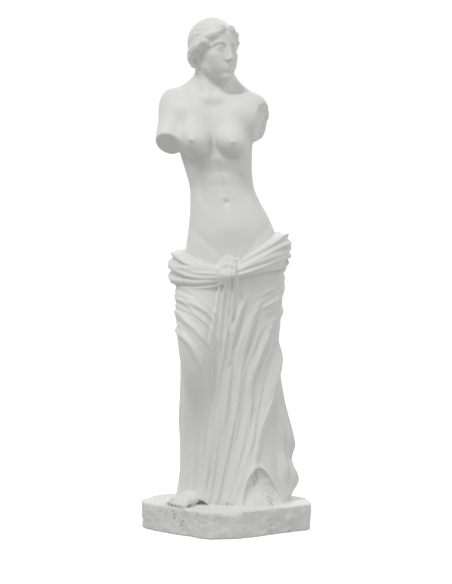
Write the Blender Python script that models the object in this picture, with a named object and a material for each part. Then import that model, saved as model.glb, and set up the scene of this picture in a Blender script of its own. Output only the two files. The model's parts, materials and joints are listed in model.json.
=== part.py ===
"""A half-draped goddess standing at rest, cast in one with her low rough plinth.

The figure is carved as a distance field: rounded forms are joined smoothly, and the cloth is a
surface round both legs whose folds are drawn as families of ridges. The field is then turned into
one closed mesh. The figure's own places and sizes are shares of its height.

Axes: +Z up, +X to the viewer's right, the figure faces -Y. The origin is under the plinth's middle.
"""

import math

import bmesh
import bpy
import numpy as np
from mathutils import Vector
from mathutils.bvhtree import BVHTree

# Sizes in metres
FIGURE_HEIGHT = 0.845
PLINTH_WIDTH = 0.300
PLINTH_DEPTH = 0.240
PLINTH_HEIGHT = 0.046
PLINTH_EDGE_ROUNDING = 0.006

# The figure's place on the plinth, in metres from the plinth's middle
FIGURE_SHIFT_X = 0.000
FIGURE_SHIFT_Y = 0.010

# The mesh
CELL = 0.0034
BODY_TRIANGLES = 7300
HEAD_TRIANGLES = 2400
HEAD_FROM = 0.865
BLOCK = 8
STEEPEST = 2.4

# The pose, in shares of the figure's height. The left leg carries the weight.
# Height, sideways shift, forward shift, sideways tilt, turn in degrees of the trunk at that height
SPINE = (
    (0.40, 0.014, 0.000, 0.085, 5.0),
    (0.50, 0.014, 0.000, 0.085, 5.0),
    (0.56, 0.012, 0.001, 0.075, 4.0),
    (0.64, -0.004, 0.004, 0.010, 1.0),
    (0.72, -0.018, 0.005, -0.050, -3.0),
    (0.80, -0.022, 0.006, -0.060, -4.0),
    (0.90, -0.022, 0.004, -0.050, -4.0),
)
# Height, half width, depth in front, depth behind of the trunk
TRUNK = (
    (0.42, 0.088, 0.050, 0.064),
    (0.47, 0.0925, 0.055, 0.074),
    (0.505, 0.0945, 0.058, 0.073),
    (0.545, 0.0910, 0.058, 0.062),
    (0.580, 0.0830, 0.055, 0.050),
    (0.615, 0.0725, 0.051, 0.042),
    (0.645, 0.0665, 0.048, 0.040),
    (0.680, 0.0685, 0.050, 0.044),
    (0.715, 0.0740, 0.053, 0.051),
    (0.750, 0.0780, 0.053, 0.056),
    (0.785, 0.0780, 0.047, 0.055),
    (0.810, 0.0700, 0.038, 0.048),
    (0.835, 0.0420, 0.024, 0.034),
    (0.860, 0.0200, 0.010, 0.015),
)
TRUNK_SQUARENESS = 2.35

HEAD_CENTRE = (-0.021, -0.004, 0.927)
HEAD_SIZE = 0.129
HEAD_TURN = 36.0
HEAD_NOD = 3.0
HEAD_LEAN = -4.0

# Height, then sideways place, depth place and radius of the carrying leg in its cloth
CARRYING_LEG = (
    (0.000, 0.046, 0.004, 0.050),
    (0.040, 0.044, 0.006, 0.034),
    (0.120, 0.045, 0.012, 0.028),
    (0.200, 0.048, 0.014, 0.034),
    (0.285, 0.051, 0.000, 0.033),
    (0.360, 0.053, -0.003, 0.044),
    (0.440, 0.054, -0.001, 0.055),
    (0.500, 0.052, 0.004, 0.058),
    (0.560, 0.036, 0.004, 0.045),
)
FREE_LEG = (
    (0.000, -0.030, -0.004, 0.046),
    (0.040, -0.031, -0.005, 0.032),
    (0.120, -0.037, -0.018, 0.027),
    (0.200, -0.046, -0.041, 0.030),
    (0.285, -0.055, -0.067, 0.031),
    (0.320, -0.056, -0.066, 0.035),
    (0.380, -0.050, -0.046, 0.045),
    (0.440, -0.043, -0.025, 0.053),
    (0.500, -0.032, -0.008, 0.056),
    (0.560, -0.012, 0.004, 0.040),
)


class Curve:
    """A smooth curve through rows of (position, value, value...)."""

    def __init__(self, rows, samples=400):
        rows = np.array(rows, float)
        at, values = rows[:, 0], rows[:, 1:]
        slopes = np.gradient(values, at, axis=0)
        self.at = np.linspace(at[0], at[-1], samples)
        i = np.clip(np.searchsorted(at, self.at, side="right") - 1, 0, len(at) - 2)
        span = (at[i + 1] - at[i])[:, None]
        u = (self.at - at[i])[:, None] / span
        self.values = (
            (2 * u**3 - 3 * u**2 + 1) * values[i]
            + (u**3 - 2 * u**2 + u) * span * slopes[i]
            + (3 * u**2 - 2 * u**3) * values[i + 1]
            + (u**3 - u**2) * span * slopes[i + 1]
        )

    def __call__(self, at):
        return [np.interp(at, self.at, column) for column in self.values.T]


def blend_in(a, b, k):
    """The union of two fields, rounded over a width k where they meet."""
    h = np.clip(0.5 + 0.5 * (b - a) / k, 0.0, 1.0)
    return b + (a - b) * h - k * h * (1.0 - h)


def cut_out(a, b, k):
    """Field a with field b carved out of it, rounded over a width k."""
    return -blend_in(-a, b, k)


def keep_within(a, b, k):
    """What fields a and b share, rounded over a width k at the edge."""
    return -blend_in(-a, -b, k)


def ellipsoid(p, centre, radii):
    """About the distance to an ellipsoid along the axes."""
    q = (p - np.array(centre)) / np.array(radii)
    near = np.sqrt((q * q).sum(axis=1)) + 1e-9
    q = q / np.array(radii)
    return near * (near - 1.0) / (np.sqrt((q * q).sum(axis=1)) + 1e-9)


def limb(p, start, end, r_start, r_end):
    """The distance to a rounded bar whose radius runs from one end's to the other's."""
    start, end = np.array(start, float), np.array(end, float)
    along = end - start
    t = np.clip((p - start) @ along / (along @ along), 0.0, 1.0)
    return np.sqrt(((p - start - t[:, None] * along) ** 2).sum(axis=1)) - (r_start + (r_end - r_start) * t)


def limbs(p, rows, k):
    """Rounded bars in a chain through rows of (x, y, z, radius), joined over a width k."""
    d = None
    for a, b in zip(rows, rows[1:]):
        bar = limb(p, a[:3], b[:3], a[3], b[3])
        d = bar if d is None else blend_in(d, bar, k)
    return d


def bump(p, centre, size):
    """A soft mound of height 1 round a centre, with a width along each axis."""
    q = (p - np.array(centre)) / np.array(size)
    return np.exp(-(q * q).sum(axis=1))


def turned(p, centre, turn, nod=0.0, lean=0.0, size=1.0):
    """Points as seen from a frame that is turned about Z, nods about X and leans about Y, in degrees."""
    a, b, c = (math.radians(x) for x in (turn, nod, lean))
    about_z = np.array([[math.cos(a), -math.sin(a), 0], [math.sin(a), math.cos(a), 0], [0, 0, 1]])
    about_x = np.array([[1, 0, 0], [0, math.cos(b), -math.sin(b)], [0, math.sin(b), math.cos(b)]])
    about_y = np.array([[math.cos(c), 0, math.sin(c)], [0, 1, 0], [-math.sin(c), 0, math.cos(c)]])
    return (p - np.array(centre)) @ (about_y @ about_z @ about_x) / size


def hashed(ix, iy, iz, seed):
    """A fixed number from 0 to 1 for each whole-numbered place."""
    n = ix * 374761393 + iy * 668265263 + iz * 2147483647 + seed * 974634777
    n = (n ^ (n >> 13)) * 1274126177
    n = n ^ (n >> 16)
    return (n & 0xFFFFFF) / float(0xFFFFFF)


def roughness_noise(p, size, seed):
    """Smooth noise from -1 to 1 whose lumps are about size across."""
    q = p / size
    base = np.floor(q)
    f = q - base
    f = f * f * (3 - 2 * f)
    i = base.astype(np.int64)
    total = np.zeros(len(p))
    for corner in range(8):
        step = np.array([corner & 1, corner >> 1 & 1, corner >> 2 & 1])
        weight = np.prod(np.where(step, f, 1 - f), axis=1)
        total += weight * hashed(i[:, 0] + step[0], i[:, 1] + step[1], i[:, 2] + step[2], seed)
    return 2 * total - 1


# The trunk, neck and arms

def mirrored(p):
    """Points folded over to the side where X is positive."""
    return np.stack([np.abs(p[:, 0]), p[:, 1], p[:, 2]], axis=1)


SPINE_CURVE = Curve(SPINE)
TRUNK_CURVE = Curve(TRUNK)


def trunk_frame(p):
    """Points as seen from the trunk standing straight, before the hips and shoulders sway."""
    shift_x, shift_y, tilt, turn = SPINE_CURVE(p[:, 2])
    x, y = p[:, 0] - shift_x, p[:, 1] - shift_y
    turn = np.radians(turn)
    c, s = np.cos(turn), np.sin(turn)
    x, y = c * x + s * y, c * y - s * x
    return np.stack([x, y, p[:, 2] - tilt * x], axis=1)


def trunk_core(q):
    """The trunk's smooth outer form, before its details."""
    wide, front, back = TRUNK_CURVE(q[:, 2])
    depth = np.where(q[:, 1] < 0, front, back)
    n = TRUNK_SQUARENESS
    ratio = (np.abs(q[:, 0] / wide) ** n + np.abs(q[:, 1] / depth) ** n) ** (1 / n) + 1e-6
    return np.hypot(q[:, 0], q[:, 1]) * (1 - 1 / ratio)


def trunk(q):
    """The trunk with breasts, belly, ribs and back."""
    m = mirrored(q)
    d = np.maximum(trunk_core(q), q[:, 2] - 0.85)
    # shoulder girdle and collar bones
    d = blend_in(d, limb(m, (0.028, 0.022, 0.842), (0.078, 0.010, 0.823), 0.020, 0.021), 0.030)
    d = blend_in(d, limb(m, (0.010, -0.031, 0.824), (0.074, -0.012, 0.835), 0.006, 0.007), 0.012)
    d = blend_in(d, ellipsoid(m, (0.048, -0.018, 0.790), (0.042, 0.034, 0.036)), 0.025)
    # breasts, fuller below than above
    breast = ellipsoid(m, (0.0375, -0.049, 0.7365), (0.0325, 0.0355, 0.0320))
    breast = blend_in(breast, ellipsoid(m, (0.0365, -0.038, 0.762), (0.028, 0.024, 0.034)), 0.020)
    d = blend_in(d, breast, 0.009)
    d = blend_in(d, limb(m, (0.0410, -0.080, 0.7360), (0.0415, -0.086, 0.7360), 0.0050, 0.0028), 0.005)
    # the ribs' arch, the line down the belly and its two sides
    side = m[:, 0]
    arch = q[:, 2] - (0.700 - 11.0 * side**2)
    front = np.clip(-q[:, 1] / 0.03, 0, 1)
    d = d - front * 0.0022 * np.exp(-((arch / 0.010) ** 2)) * np.exp(-((side / 0.055) ** 4))
    down = np.clip((q[:, 2] - 0.600) / 0.03, 0, 1) * np.clip((0.712 - q[:, 2]) / 0.03, 0, 1)
    d = d + front * down * 0.0020 * np.exp(-((side / 0.0065) ** 2))
    edge = side - 0.034 - 0.010 * np.sin((q[:, 2] - 0.56) * 20.0)
    d = d + front * down * 0.0013 * np.exp(-((edge / 0.008) ** 2))
    # belly, navel and the fold above the hips
    d = d - 0.0060 * bump(q, (0, -0.055, 0.560), (0.040, 0.030, 0.032))
    d = d - 0.0020 * bump(q, (0, -0.050, 0.640), (0.030, 0.030, 0.025))
    d = d + 0.0055 * bump(q, (0, -0.053, 0.607), (0.0042, 0.02, 0.0060))
    d = d - 0.0012 * bump(q, (0, -0.053, 0.616), (0.010, 0.02, 0.0045))
    groin = (q[:, 2] - 0.500) - 1.05 * (side - 0.018)
    d = d + front * 0.0024 * np.exp(-((groin / 0.008) ** 2)) * np.clip((side - 0.01) / 0.02, 0, 1)
    # back: furrow of the spine, shoulder blades and the dimples over the hips
    behind = np.clip(q[:, 1] / 0.02, 0, 1)
    spine = np.clip((q[:, 2] - 0.52) / 0.05, 0, 1) * np.clip((0.84 - q[:, 2]) / 0.05, 0, 1)
    d = d + behind * spine * 0.0048 * np.exp(-((side / 0.0100) ** 2))
    d = d - 0.0050 * bump(m, (0.046, 0.052, 0.762), (0.022, 0.03, 0.032))
    d = d + 0.0022 * bump(m, (0.066, 0.050, 0.735), (0.012, 0.03, 0.020))
    d = d - 0.0030 * bump(m, (0.022, 0.045, 0.625), (0.014, 0.03, 0.050))
    d = d + 0.0030 * bump(m, (0.028, 0.062, 0.562), (0.008, 0.02, 0.008))
    d = cut_out(d, limb(q, (0, 0.090, 0.545), (0, 0.098, 0.480), 0.020, 0.026), 0.022)
    return d


def neck(q):
    """The neck with the two cords that run from behind the ears to the pit of the throat."""
    d = limb(q, (0.000, 0.016, 0.800), (0.002, 0.008, 0.892), 0.034, 0.0275)
    d = blend_in(d, limb(q, (0.026, 0.024, 0.880), (0.066, 0.022, 0.835), 0.012, 0.016), 0.030)
    d = blend_in(d, limb(q, (-0.026, 0.026, 0.880), (-0.066, 0.022, 0.835), 0.012, 0.016), 0.030)
    d = blend_in(d, limb(q, (-0.024, 0.006, 0.895), (-0.006, -0.029, 0.826), 0.0085, 0.0065), 0.010)
    d = blend_in(d, limb(q, (0.030, 0.012, 0.890), (0.010, -0.028, 0.826), 0.0075, 0.0060), 0.012)
    return d


# Where each arm starts, where it ends or breaks, and which way its bare face looks
RIGHT_ARM = ((-0.080, 0.004, 0.812), (-0.0915, -0.050, 0.728))
RIGHT_CUT_FACING = (-0.10, -0.70, -0.70)
LEFT_ARM = ((0.080, 0.004, 0.812), (0.105, -0.006, 0.770))
LEFT_BREAK = (0.0965, -0.012, 0.796)
LEFT_BREAK_FACING = (0.86, -0.42, -0.30)
SHOULDER = (0.083, 0.002, 0.803)
SHOULDER_SIZE = (0.0255, 0.0300, 0.0400)


def arms(q):
    """The right arm cut clean above the elbow, and the left one broken off at the shoulder."""
    start, end = (np.array(x) for x in RIGHT_ARM)
    x, y, z = SHOULDER
    d = limb(q, start, end + (end - start) * 0.3, 0.0290, 0.0258)
    d = blend_in(d, ellipsoid(q, (-x, y, z), SHOULDER_SIZE), 0.020)
    facing = np.array(RIGHT_CUT_FACING)
    right = keep_within(d, (q - end) @ (facing / np.linalg.norm(facing)), 0.0025)
    d = limb(q, LEFT_ARM[0], LEFT_ARM[1], 0.0285, 0.0280)
    d = blend_in(d, ellipsoid(q, SHOULDER, SHOULDER_SIZE), 0.020)
    facing = np.array(LEFT_BREAK_FACING)
    rough = 0.0028 * roughness_noise(q, 0.012, 3) + 0.0016 * roughness_noise(q, 0.0055, 4)
    left = keep_within(d, (q - np.array(LEFT_BREAK)) @ (facing / np.linalg.norm(facing)) + rough, 0.0016)
    return np.minimum(right, left)


# The head, in shares of its own height, with +Z up, the face towards -Y and the eyes at height 0
HAIR_FRONT = (0.0, -0.38, 0.24)
HAIR_BACK = (0.0, 0.46, -0.08)
KNOT = (0.0, 0.475, -0.075)
KNOT_SIZE = (0.150, 0.130, 0.135)


def skull(m):
    """The skull, cheeks, jaw and chin."""
    d = ellipsoid(m, (0, 0.03, 0.13), (0.312, 0.395, 0.365))
    d = blend_in(d, ellipsoid(m, (0, -0.115, -0.10), (0.245, 0.255, 0.385)), 0.09)
    d = blend_in(d, ellipsoid(m, (0, -0.150, 0.17), (0.252, 0.232, 0.22)), 0.08)
    d = blend_in(d, limb(m, (0.185, 0.00, -0.24), (0.055, -0.265, -0.420), 0.074, 0.064), 0.08)
    d = blend_in(d, ellipsoid(m, (0, -0.318, -0.430), (0.074, 0.064, 0.062)), 0.07)
    d = blend_in(d, ellipsoid(m, (0.160, -0.240, -0.105), (0.094, 0.094, 0.090)), 0.09)
    return blend_in(d, ellipsoid(m, (0.110, -0.255, -0.240), (0.100, 0.092, 0.115)), 0.09)


def eyes(m, d):
    """Brows, sockets, eyeballs and lids added to the skull."""
    brow = (
        (0.026, -0.362, 0.066, 0.024),
        (0.105, -0.358, 0.100, 0.020),
        (0.180, -0.315, 0.092, 0.022),
        (0.240, -0.240, 0.048, 0.026),
    )
    upper = (
        (0.057, -0.336, -0.010, 0.009),
        (0.086, -0.362, 0.020, 0.011),
        (0.124, -0.369, 0.030, 0.011),
        (0.162, -0.351, 0.021, 0.011),
        (0.196, -0.308, -0.006, 0.009),
    )
    lower = (
        (0.057, -0.336, -0.012, 0.007),
        (0.092, -0.357, -0.028, 0.008),
        (0.126, -0.361, -0.034, 0.008),
        (0.162, -0.344, -0.025, 0.008),
        (0.196, -0.308, -0.008, 0.007),
    )
    d = blend_in(d, limbs(m, brow, 0.02), 0.040)
    d = cut_out(d, ellipsoid(m, (0.122, -0.402, 0.010), (0.086, 0.066, 0.046)), 0.045)
    d = cut_out(d, ellipsoid(m, (0.062, -0.390, 0.004), (0.024, 0.045, 0.032)), 0.035)
    d = blend_in(d, ellipsoid(m, (0.121, -0.290, 0.000), (0.074, 0.074, 0.072)), 0.012)
    d = blend_in(d, limbs(m, upper, 0.006), 0.009)
    return blend_in(d, limbs(m, lower, 0.006), 0.014)


def nose(m, d):
    """A straight nose with soft sides, added to the face."""
    d = blend_in(d, limb(m, (0, -0.330, 0.060), (0, -0.362, -0.150), 0.046, 0.060), 0.050)
    d = blend_in(d, limb(m, (0, -0.366, 0.080), (0, -0.440, -0.150), 0.031, 0.035), 0.034)
    d = blend_in(d, ellipsoid(m, (0, -0.446, -0.166), (0.040, 0.034, 0.032)), 0.026)
    d = blend_in(d, ellipsoid(m, (0.043, -0.398, -0.178), (0.027, 0.036, 0.025)), 0.020)
    d = cut_out(d, ellipsoid(m, (0.022, -0.420, -0.208), (0.013, 0.020, 0.014)), 0.010)
    return cut_out(d, limb(m, (0.080, -0.385, -0.165), (0.074, -0.362, -0.205), 0.008, 0.005), 0.022)


def mouth(m, d):
    """Calm closed lips, added to the face."""
    upper = (
        (0.098, -0.338, -0.308, 0.007),
        (0.060, -0.368, -0.297, 0.014),
        (0.020, -0.387, -0.288, 0.017),
        (0.000, -0.386, -0.292, 0.017),
    )
    lower = (
        (0.092, -0.338, -0.318, 0.007),
        (0.048, -0.366, -0.331, 0.017),
        (0.000, -0.378, -0.336, 0.022),
    )
    line = (
        (0.100, -0.356, -0.312, 0.003),
        (0.050, -0.392, -0.311, 0.005),
        (0.000, -0.409, -0.315, 0.005),
    )
    d = blend_in(d, ellipsoid(m, (0, -0.300, -0.300), (0.138, 0.088, 0.094)), 0.06)
    d = cut_out(d, limb(m, (0, -0.412, -0.225), (0, -0.414, -0.258), 0.010, 0.012), 0.018)
    d = blend_in(d, limbs(m, upper, 0.008), 0.014)
    d = blend_in(d, limbs(m, lower, 0.008), 0.014)
    d = cut_out(d, limbs(m, line, 0.004), 0.009)
    return cut_out(d, limb(m, (0.0, -0.396, -0.380), (0.05, -0.370, -0.374), 0.014, 0.010), 0.040)


def ears(m):
    """Ears whose tops the hair covers."""
    d = ellipsoid(m, (0.300, 0.035, -0.045), (0.022, 0.052, 0.080))
    d = cut_out(d, ellipsoid(m, (0.325, 0.025, -0.035), (0.016, 0.028, 0.040)), 0.012)
    return blend_in(d, ellipsoid(m, (0.292, 0.015, -0.115), (0.020, 0.026, 0.030)), 0.02)


def hair_strands(m, locks, wave, wobble):
    """Ridges from 0 to 1 that run in waves from the parting over the ears to the knot."""
    front, back = np.array(HAIR_FRONT), np.array(HAIR_BACK)
    along = (back - front) / np.linalg.norm(back - front)
    up = np.array([0.0, -along[2], along[1]])
    s, rise = (m - front) @ along, (m - front) @ up
    swing = np.arctan2(m[:, 0], rise)
    sway = np.sin(wave * s + 1.5 * swing) + 0.4 * np.sin(2.3 * wave * s + 7 * swing)
    near = np.clip(np.hypot(m[:, 0], rise) / 0.12, 0, 1)
    return near * np.abs(np.sin(locks * (swing + wobble * sway))) ** 0.8


def cap(m):
    """The hair drawn back over the skull, parted in the middle."""
    d = ellipsoid(m, (0, 0.055, 0.150), (0.345, 0.425, 0.370))
    d = cut_out(d, ellipsoid(m, (0, -0.42, -0.13), (0.300, 0.400, 0.450)), 0.02)
    d = np.maximum(d, -0.30 - m[:, 2] - 0.25 * m[:, 1])
    return d - 0.013 * hair_strands(m, 12.0, 15.0, 0.045)


def front_roll(m):
    """The thick waved roll round the brow and over the ears."""
    rows = (
        (0.000, -0.318, 0.318, 0.046),
        (0.085, -0.318, 0.300, 0.060),
        (0.185, -0.262, 0.228, 0.072),
        (0.268, -0.160, 0.138, 0.078),
        (0.312, -0.035, 0.062, 0.078),
        (0.318, 0.090, 0.006, 0.074),
        (0.274, 0.220, -0.050, 0.074),
        (0.160, 0.350, -0.090, 0.076),
    )
    parting = np.clip(m[:, 0] / 0.05, 0, 1)
    wind = 24.0 * m[:, 1] - 10.0 * m[:, 0] + 20.0 * (m[:, 2] - 0.2) + 2.0 * np.sin(14.0 * m[:, 1])
    locks = 0.022 * np.abs(np.sin(wind)) ** 0.8 + 0.007 * np.abs(np.sin(3.0 * wind + 9.0 * m[:, 0]))
    return limbs(m, rows, 0.02) + 0.010 - parting * (locks + 0.007 * hair_strands(m, 24.0, 21.0, 0.06))


def knot_behind(m):
    """The wound knot on the nape and the short hair below it."""
    z = KNOT[2]
    around = np.arctan2(m[:, 0], m[:, 2] - z)
    out = np.hypot(m[:, 0], m[:, 2] - z)
    d = ellipsoid(m, KNOT, KNOT_SIZE)
    d = d - 0.016 * np.abs(np.sin(22.0 * out + 3.0 * around))
    loose = (
        (0.100, 0.330, -0.140, 0.085),
        (0.060, 0.320, -0.240, 0.065),
        (0.030, 0.300, -0.330, 0.035),
    )
    nape = limbs(m, loose, 0.03) - 0.010 * np.abs(np.sin(30 * m[:, 0] + 4 * m[:, 2]))
    return blend_in(d, nape, 0.03)


def hair(m):
    """All the hair with the narrow band that holds it."""
    d = blend_in(cap(m), front_roll(m), 0.014)
    d = cut_out(d, limb(m, (0, -0.40, 0.300), (0, -0.02, 0.545), 0.008, 0.006), 0.020)
    away = (m - np.array([0.0, -0.02, 0.47])) @ np.array([0.0, 0.86, 0.51])
    band = ellipsoid(m, (0, 0.055, 0.150), (0.364, 0.444, 0.389))
    d = blend_in(d, keep_within(band, np.abs(away) - 0.019, 0.006), 0.006)
    return blend_in(d, knot_behind(m), 0.015)


def head(p):
    """The head in its place, in shares of the figure's height."""
    m = mirrored(turned(p, HEAD_CENTRE, HEAD_TURN, HEAD_NOD, HEAD_LEAN, HEAD_SIZE))
    d = mouth(m, nose(m, eyes(m, skull(m))))
    d = blend_in(d, ears(m), 0.02)
    return blend_in(d, hair(m), 0.006) * HEAD_SIZE


# The cloth round the legs, as a distance from a line up its middle in each direction

CLOTH_TOP = 0.60
CARRYING_LEG_CURVE = Curve(CARRYING_LEG)
FREE_LEG_CURVE = Curve(FREE_LEG)
# Height and place of the line up the cloth's middle
CLOTH_MIDDLE = Curve(
    (
        (0.00, 0.008, 0.004),
        (0.12, 0.006, 0.000),
        (0.30, 0.002, -0.012),
        (0.50, 0.011, 0.005),
        (0.62, 0.010, 0.004),
    )
)
# Height, middle, half width and reach behind of the cloth that hangs from the seat
BACK_FALL = Curve(
    (
        (0.00, 0.012, 0.086, 0.082),
        (0.07, 0.010, 0.058, 0.060),
        (0.20, 0.004, 0.050, 0.048),
        (0.34, 0.004, 0.066, 0.056),
        (0.44, 0.010, 0.084, 0.074),
        (0.50, 0.013, 0.087, 0.079),
        (0.60, 0.010, 0.070, 0.050),
    )
)


def legs_in_cloth(p):
    """The cloth's smooth form: stretched round both legs, and hanging from the seat behind."""
    ax, ay, ar = CARRYING_LEG_CURVE(p[:, 2])
    bx, by, br = FREE_LEG_CURVE(p[:, 2])
    dx, dy = bx - ax, by - ay
    t = np.clip(((p[:, 0] - ax) * dx + (p[:, 1] - ay) * dy) / (dx * dx + dy * dy), 0, 1)
    dip = 0.020 * 4 * t * (1 - t) * np.clip((0.46 - p[:, 2]) / 0.2, 0, 1)
    around = np.hypot(p[:, 0] - ax - t * dx, p[:, 1] - ay - t * dy) - (ar + (br - ar) * t) + dip
    centre, wide, reach = BACK_FALL(p[:, 2])
    across, back_y = p[:, 0] - centre, p[:, 1] - 0.010
    x, y = across / wide, back_y / np.where(back_y > 0, reach - 0.010, 0.03)
    back = np.hypot(across, back_y) * (1 - 1 / (np.hypot(x, y) + 1e-6))
    return blend_in(around, back, 0.035)


def cloth_form(p):
    """What the cloth lies on: the legs' form, and the hips with the cloth's own thickness."""
    return blend_in(legs_in_cloth(p), trunk_core(trunk_frame(p)) - 0.009, 0.02)


def ray_points(angles, heights, reach):
    """Points at a reach from the cloth's middle line. Angle 0 is in front and runs to her left."""
    x, y = CLOTH_MIDDLE(heights)
    return np.stack([x + reach * np.sin(angles), y - reach * np.cos(angles), heights], axis=-1)


def base_reach(angles, heights):
    """How far the cloth's form is from the middle line at each angle and height."""
    low, high = np.full(angles.shape, 0.004), np.full(angles.shape, 0.25)
    for _ in range(20):
        middle = (low + high) / 2
        inside = cloth_form(ray_points(angles, heights, middle).reshape(-1, 3)).reshape(angles.shape) < 0
        low, high = np.where(inside, middle, low), np.where(inside, high, middle)
    return (low + high) / 2


def stretch_grid(values, from_a, from_h, to_a, to_h):
    """Values on one grid of angles and heights, read smoothly at another's."""
    closed = np.concatenate([values, values[:1]])
    from_a = np.append(from_a, math.pi)
    columns = np.stack([np.interp(to_h, from_h, row) for row in closed])
    return np.stack([np.interp(to_a, from_a, column) for column in columns.T], axis=1)


def between(a, b, t):
    return a + (b - a) * t


class Cloth:
    """The cloth's reach at each angle and height, with its folds drawn on it."""

    def __init__(self, across, up):
        self.across, self.up = across, up
        self.angles = np.linspace(-math.pi, math.pi, across, endpoint=False)
        self.heights = np.linspace(0, CLOTH_TOP, up)
        coarse_a = np.linspace(-math.pi, math.pi, 180, endpoint=False)
        coarse_h = np.linspace(0, CLOTH_TOP, 120)
        a, h = np.meshgrid(coarse_a, coarse_h, indexing="ij")
        self.base = stretch_grid(base_reach(a, h), coarse_a, coarse_h, self.angles, self.heights)
        slope = (np.roll(self.base, -1, 0) - np.roll(self.base, 1, 0)) / (4 * math.pi / across)
        self.arc = np.hypot(self.base, slope) * 2 * math.pi / across
        self.fold = np.zeros_like(self.base)

    def draw(self, line, width, depth, skew=0.25, join=0.0030):
        """Lays one fold along a line of (angle in degrees, height, fullness), its crest nearer one side."""
        line = np.array(line, float)
        gaps = np.diff(line[:, :2], axis=0) * (0.0013, 1)
        along = np.concatenate([[0], np.cumsum(np.hypot(gaps[:, 0], gaps[:, 1]))])
        angle, height, full = Curve(np.column_stack([along, line]), samples=26).values.T
        full = np.clip(full, 0.0, None)
        start = np.radians(angle.mean())
        turn = (self.angles - start + math.pi) % (2 * math.pi) - math.pi
        columns = np.argsort(turn)
        columns = columns[np.abs(turn[columns]) < np.radians(np.ptp(angle)) / 2 + 0.6]
        above, below = self.heights > height.min() - 2 * width, self.heights < height.max() + 2 * width
        rows = np.flatnonzero(above & below)
        # distances along the cloth from the fold's own mean angle
        across = np.cumsum(self.arc[np.ix_(columns, rows)], axis=0)
        across -= across[np.abs(turn[columns]).argmin()]
        nearest = np.clip(np.searchsorted(self.heights[rows], height), 0, len(rows) - 1)
        line_u = np.array(
            [np.interp(np.radians(a) - start, turn[columns], across[:, j]) for a, j in zip(angle, nearest)]
        )
        up = np.broadcast_to(self.heights[rows][None, :], across.shape)
        best = np.zeros(across.shape)
        for k in range(len(angle) - 1):
            du, dv = line_u[k + 1] - line_u[k], height[k + 1] - height[k]
            long = math.hypot(du, dv) + 1e-9
            t = np.clip(((across - line_u[k]) * du + (up - height[k]) * dv) / long**2, 0, 1)
            away_u = across - line_u[k] - t * du
            away_v = up - height[k] - t * dv
            thick = full[k] + (full[k + 1] - full[k]) * t
            wide = width * (0.55 + 0.45 * thick) * (1 + skew * np.sign(away_u * dv - away_v * du))
            away = np.sqrt((away_u**2 + away_v**2) / wide**2 + 0.012)
            best = np.maximum(best, thick * np.clip(1 - away, 0, 1) ** 1.35)
        here = np.ix_(columns, rows)
        self.fold[here] = -blend_in(-self.fold[here], -depth * best, join)

    def family(self, count, first, last, width, depth, seed, sway=2.5, skew=0.25):
        """Folds spread from one line to another, each a little different from the next."""
        first, last = np.array(first, float), np.array(last, float)
        for i in range(count):
            t = i / max(count - 1, 1)
            line = between(first, last, t)
            places = np.arange(len(line))
            line[:, 0] += sway * np.sin(2.4 * i + 1.9 * places + seed)
            line[0, 1] += 0.015 * np.sin(2.2 * i + seed)
            line[1:-1, 1] += 0.004 * np.sin(1.3 * i + 2.7 * places[1:-1] + seed)
            line[:, 2] *= 1 + 0.18 * np.sin(3.1 * i + 1.1 * places + 2 * seed)
            size = 1 + 0.20 * math.sin(1.7 * i + seed)
            self.draw(line, width * size, depth * (1 + 0.25 * math.sin(2.9 * i + 3 * seed)), skew)

    def raise_to(self, relief, join):
        """Lays a relief over the folds."""
        self.fold = -blend_in(-self.fold, -relief, join)

    def hang_panel(self):
        """The pleated end of the mantle in front, with a lower edge that runs in zigzag."""
        turn, height = np.degrees(self.angles)[:, None], self.heights[None, :]
        down = np.clip((PANEL_TOP - height) / (PANEL_TOP - PANEL_LOW), 0, 1)
        place = (turn - PANEL_MIDDLE + 6.0 * down) / (PANEL_HALF_WIDTH * (0.45 + 0.55 * down))
        pleat = (place + 1) / 2 * PANEL_PLEATS
        saw = pleat - np.floor(pleat)
        steps = np.abs(np.floor(pleat) - (PANEL_PLEATS - 1) / 2)
        edge = PANEL_LOW + 0.022 * steps + 0.012 * np.abs(2 * saw - 1)
        within = np.clip((1 - np.abs(place)) / 0.22, 0, 1) * np.clip((height - edge) / 0.006, 0, 1)
        ridge = PANEL_THICKNESS + 0.0055 * (1 - np.sqrt((2 * saw - 1) ** 2 + 0.02))
        self.raise_to(within * ridge, 0.0010)

    def hang_side_fall(self):
        """The folded end of the mantle beside the carrying leg, with a stepped outline."""
        turn, height = np.degrees(self.angles)[:, None], self.heights[None, :]
        at, reach = np.array(SIDE_FALL_EDGE).T
        for beside, lift, share in SIDE_FALL_PLEATS:
            place = (turn - SIDE_FALL_MIDDLE - 30.0 * height - beside) / SIDE_FALL_HALF_WIDTH
            full = share * np.interp(height - lift, at, reach)
            self.raise_to(full * np.clip(1 - np.sqrt(place**2 + 0.006), 0, 1) ** 1.1, 0.0015)

    def train(self):
        """How far the train spreads beyond the hanging cloth, with a rim along its arch."""
        turn, height = np.degrees(self.angles)[:, None], self.heights[None, :]
        down = np.clip(1 - height / TRAIN_HEIGHT, 0, 1)
        place = (turn - TRAIN_MIDDLE) / TRAIN_HALF_WIDTH
        edge = TRAIN_ARCH(turn)[0]
        rim = np.clip(edge / 0.01, 0, 1) * np.exp(-(((height - edge - 0.004) / 0.0065) ** 2))
        return TRAIN_SPREAD * down**1.9 * np.exp(-(place**2)) + TRAIN_RIM * rim

    def soften(self, times):
        """Rounds the folds a little between neighbours, and settles the finished reach."""
        values = self.fold
        for _ in range(times):
            values = 0.5 * values + 0.25 * (np.roll(values, 1, 0) + np.roll(values, -1, 0))
            inner = 0.5 * values[:, 1:-1] + 0.25 * (values[:, 2:] + values[:, :-2])
            values = np.concatenate([values[:, :1], inner, values[:, -1:]], axis=1)
        self.reach = self.base + values + self.train()

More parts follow.
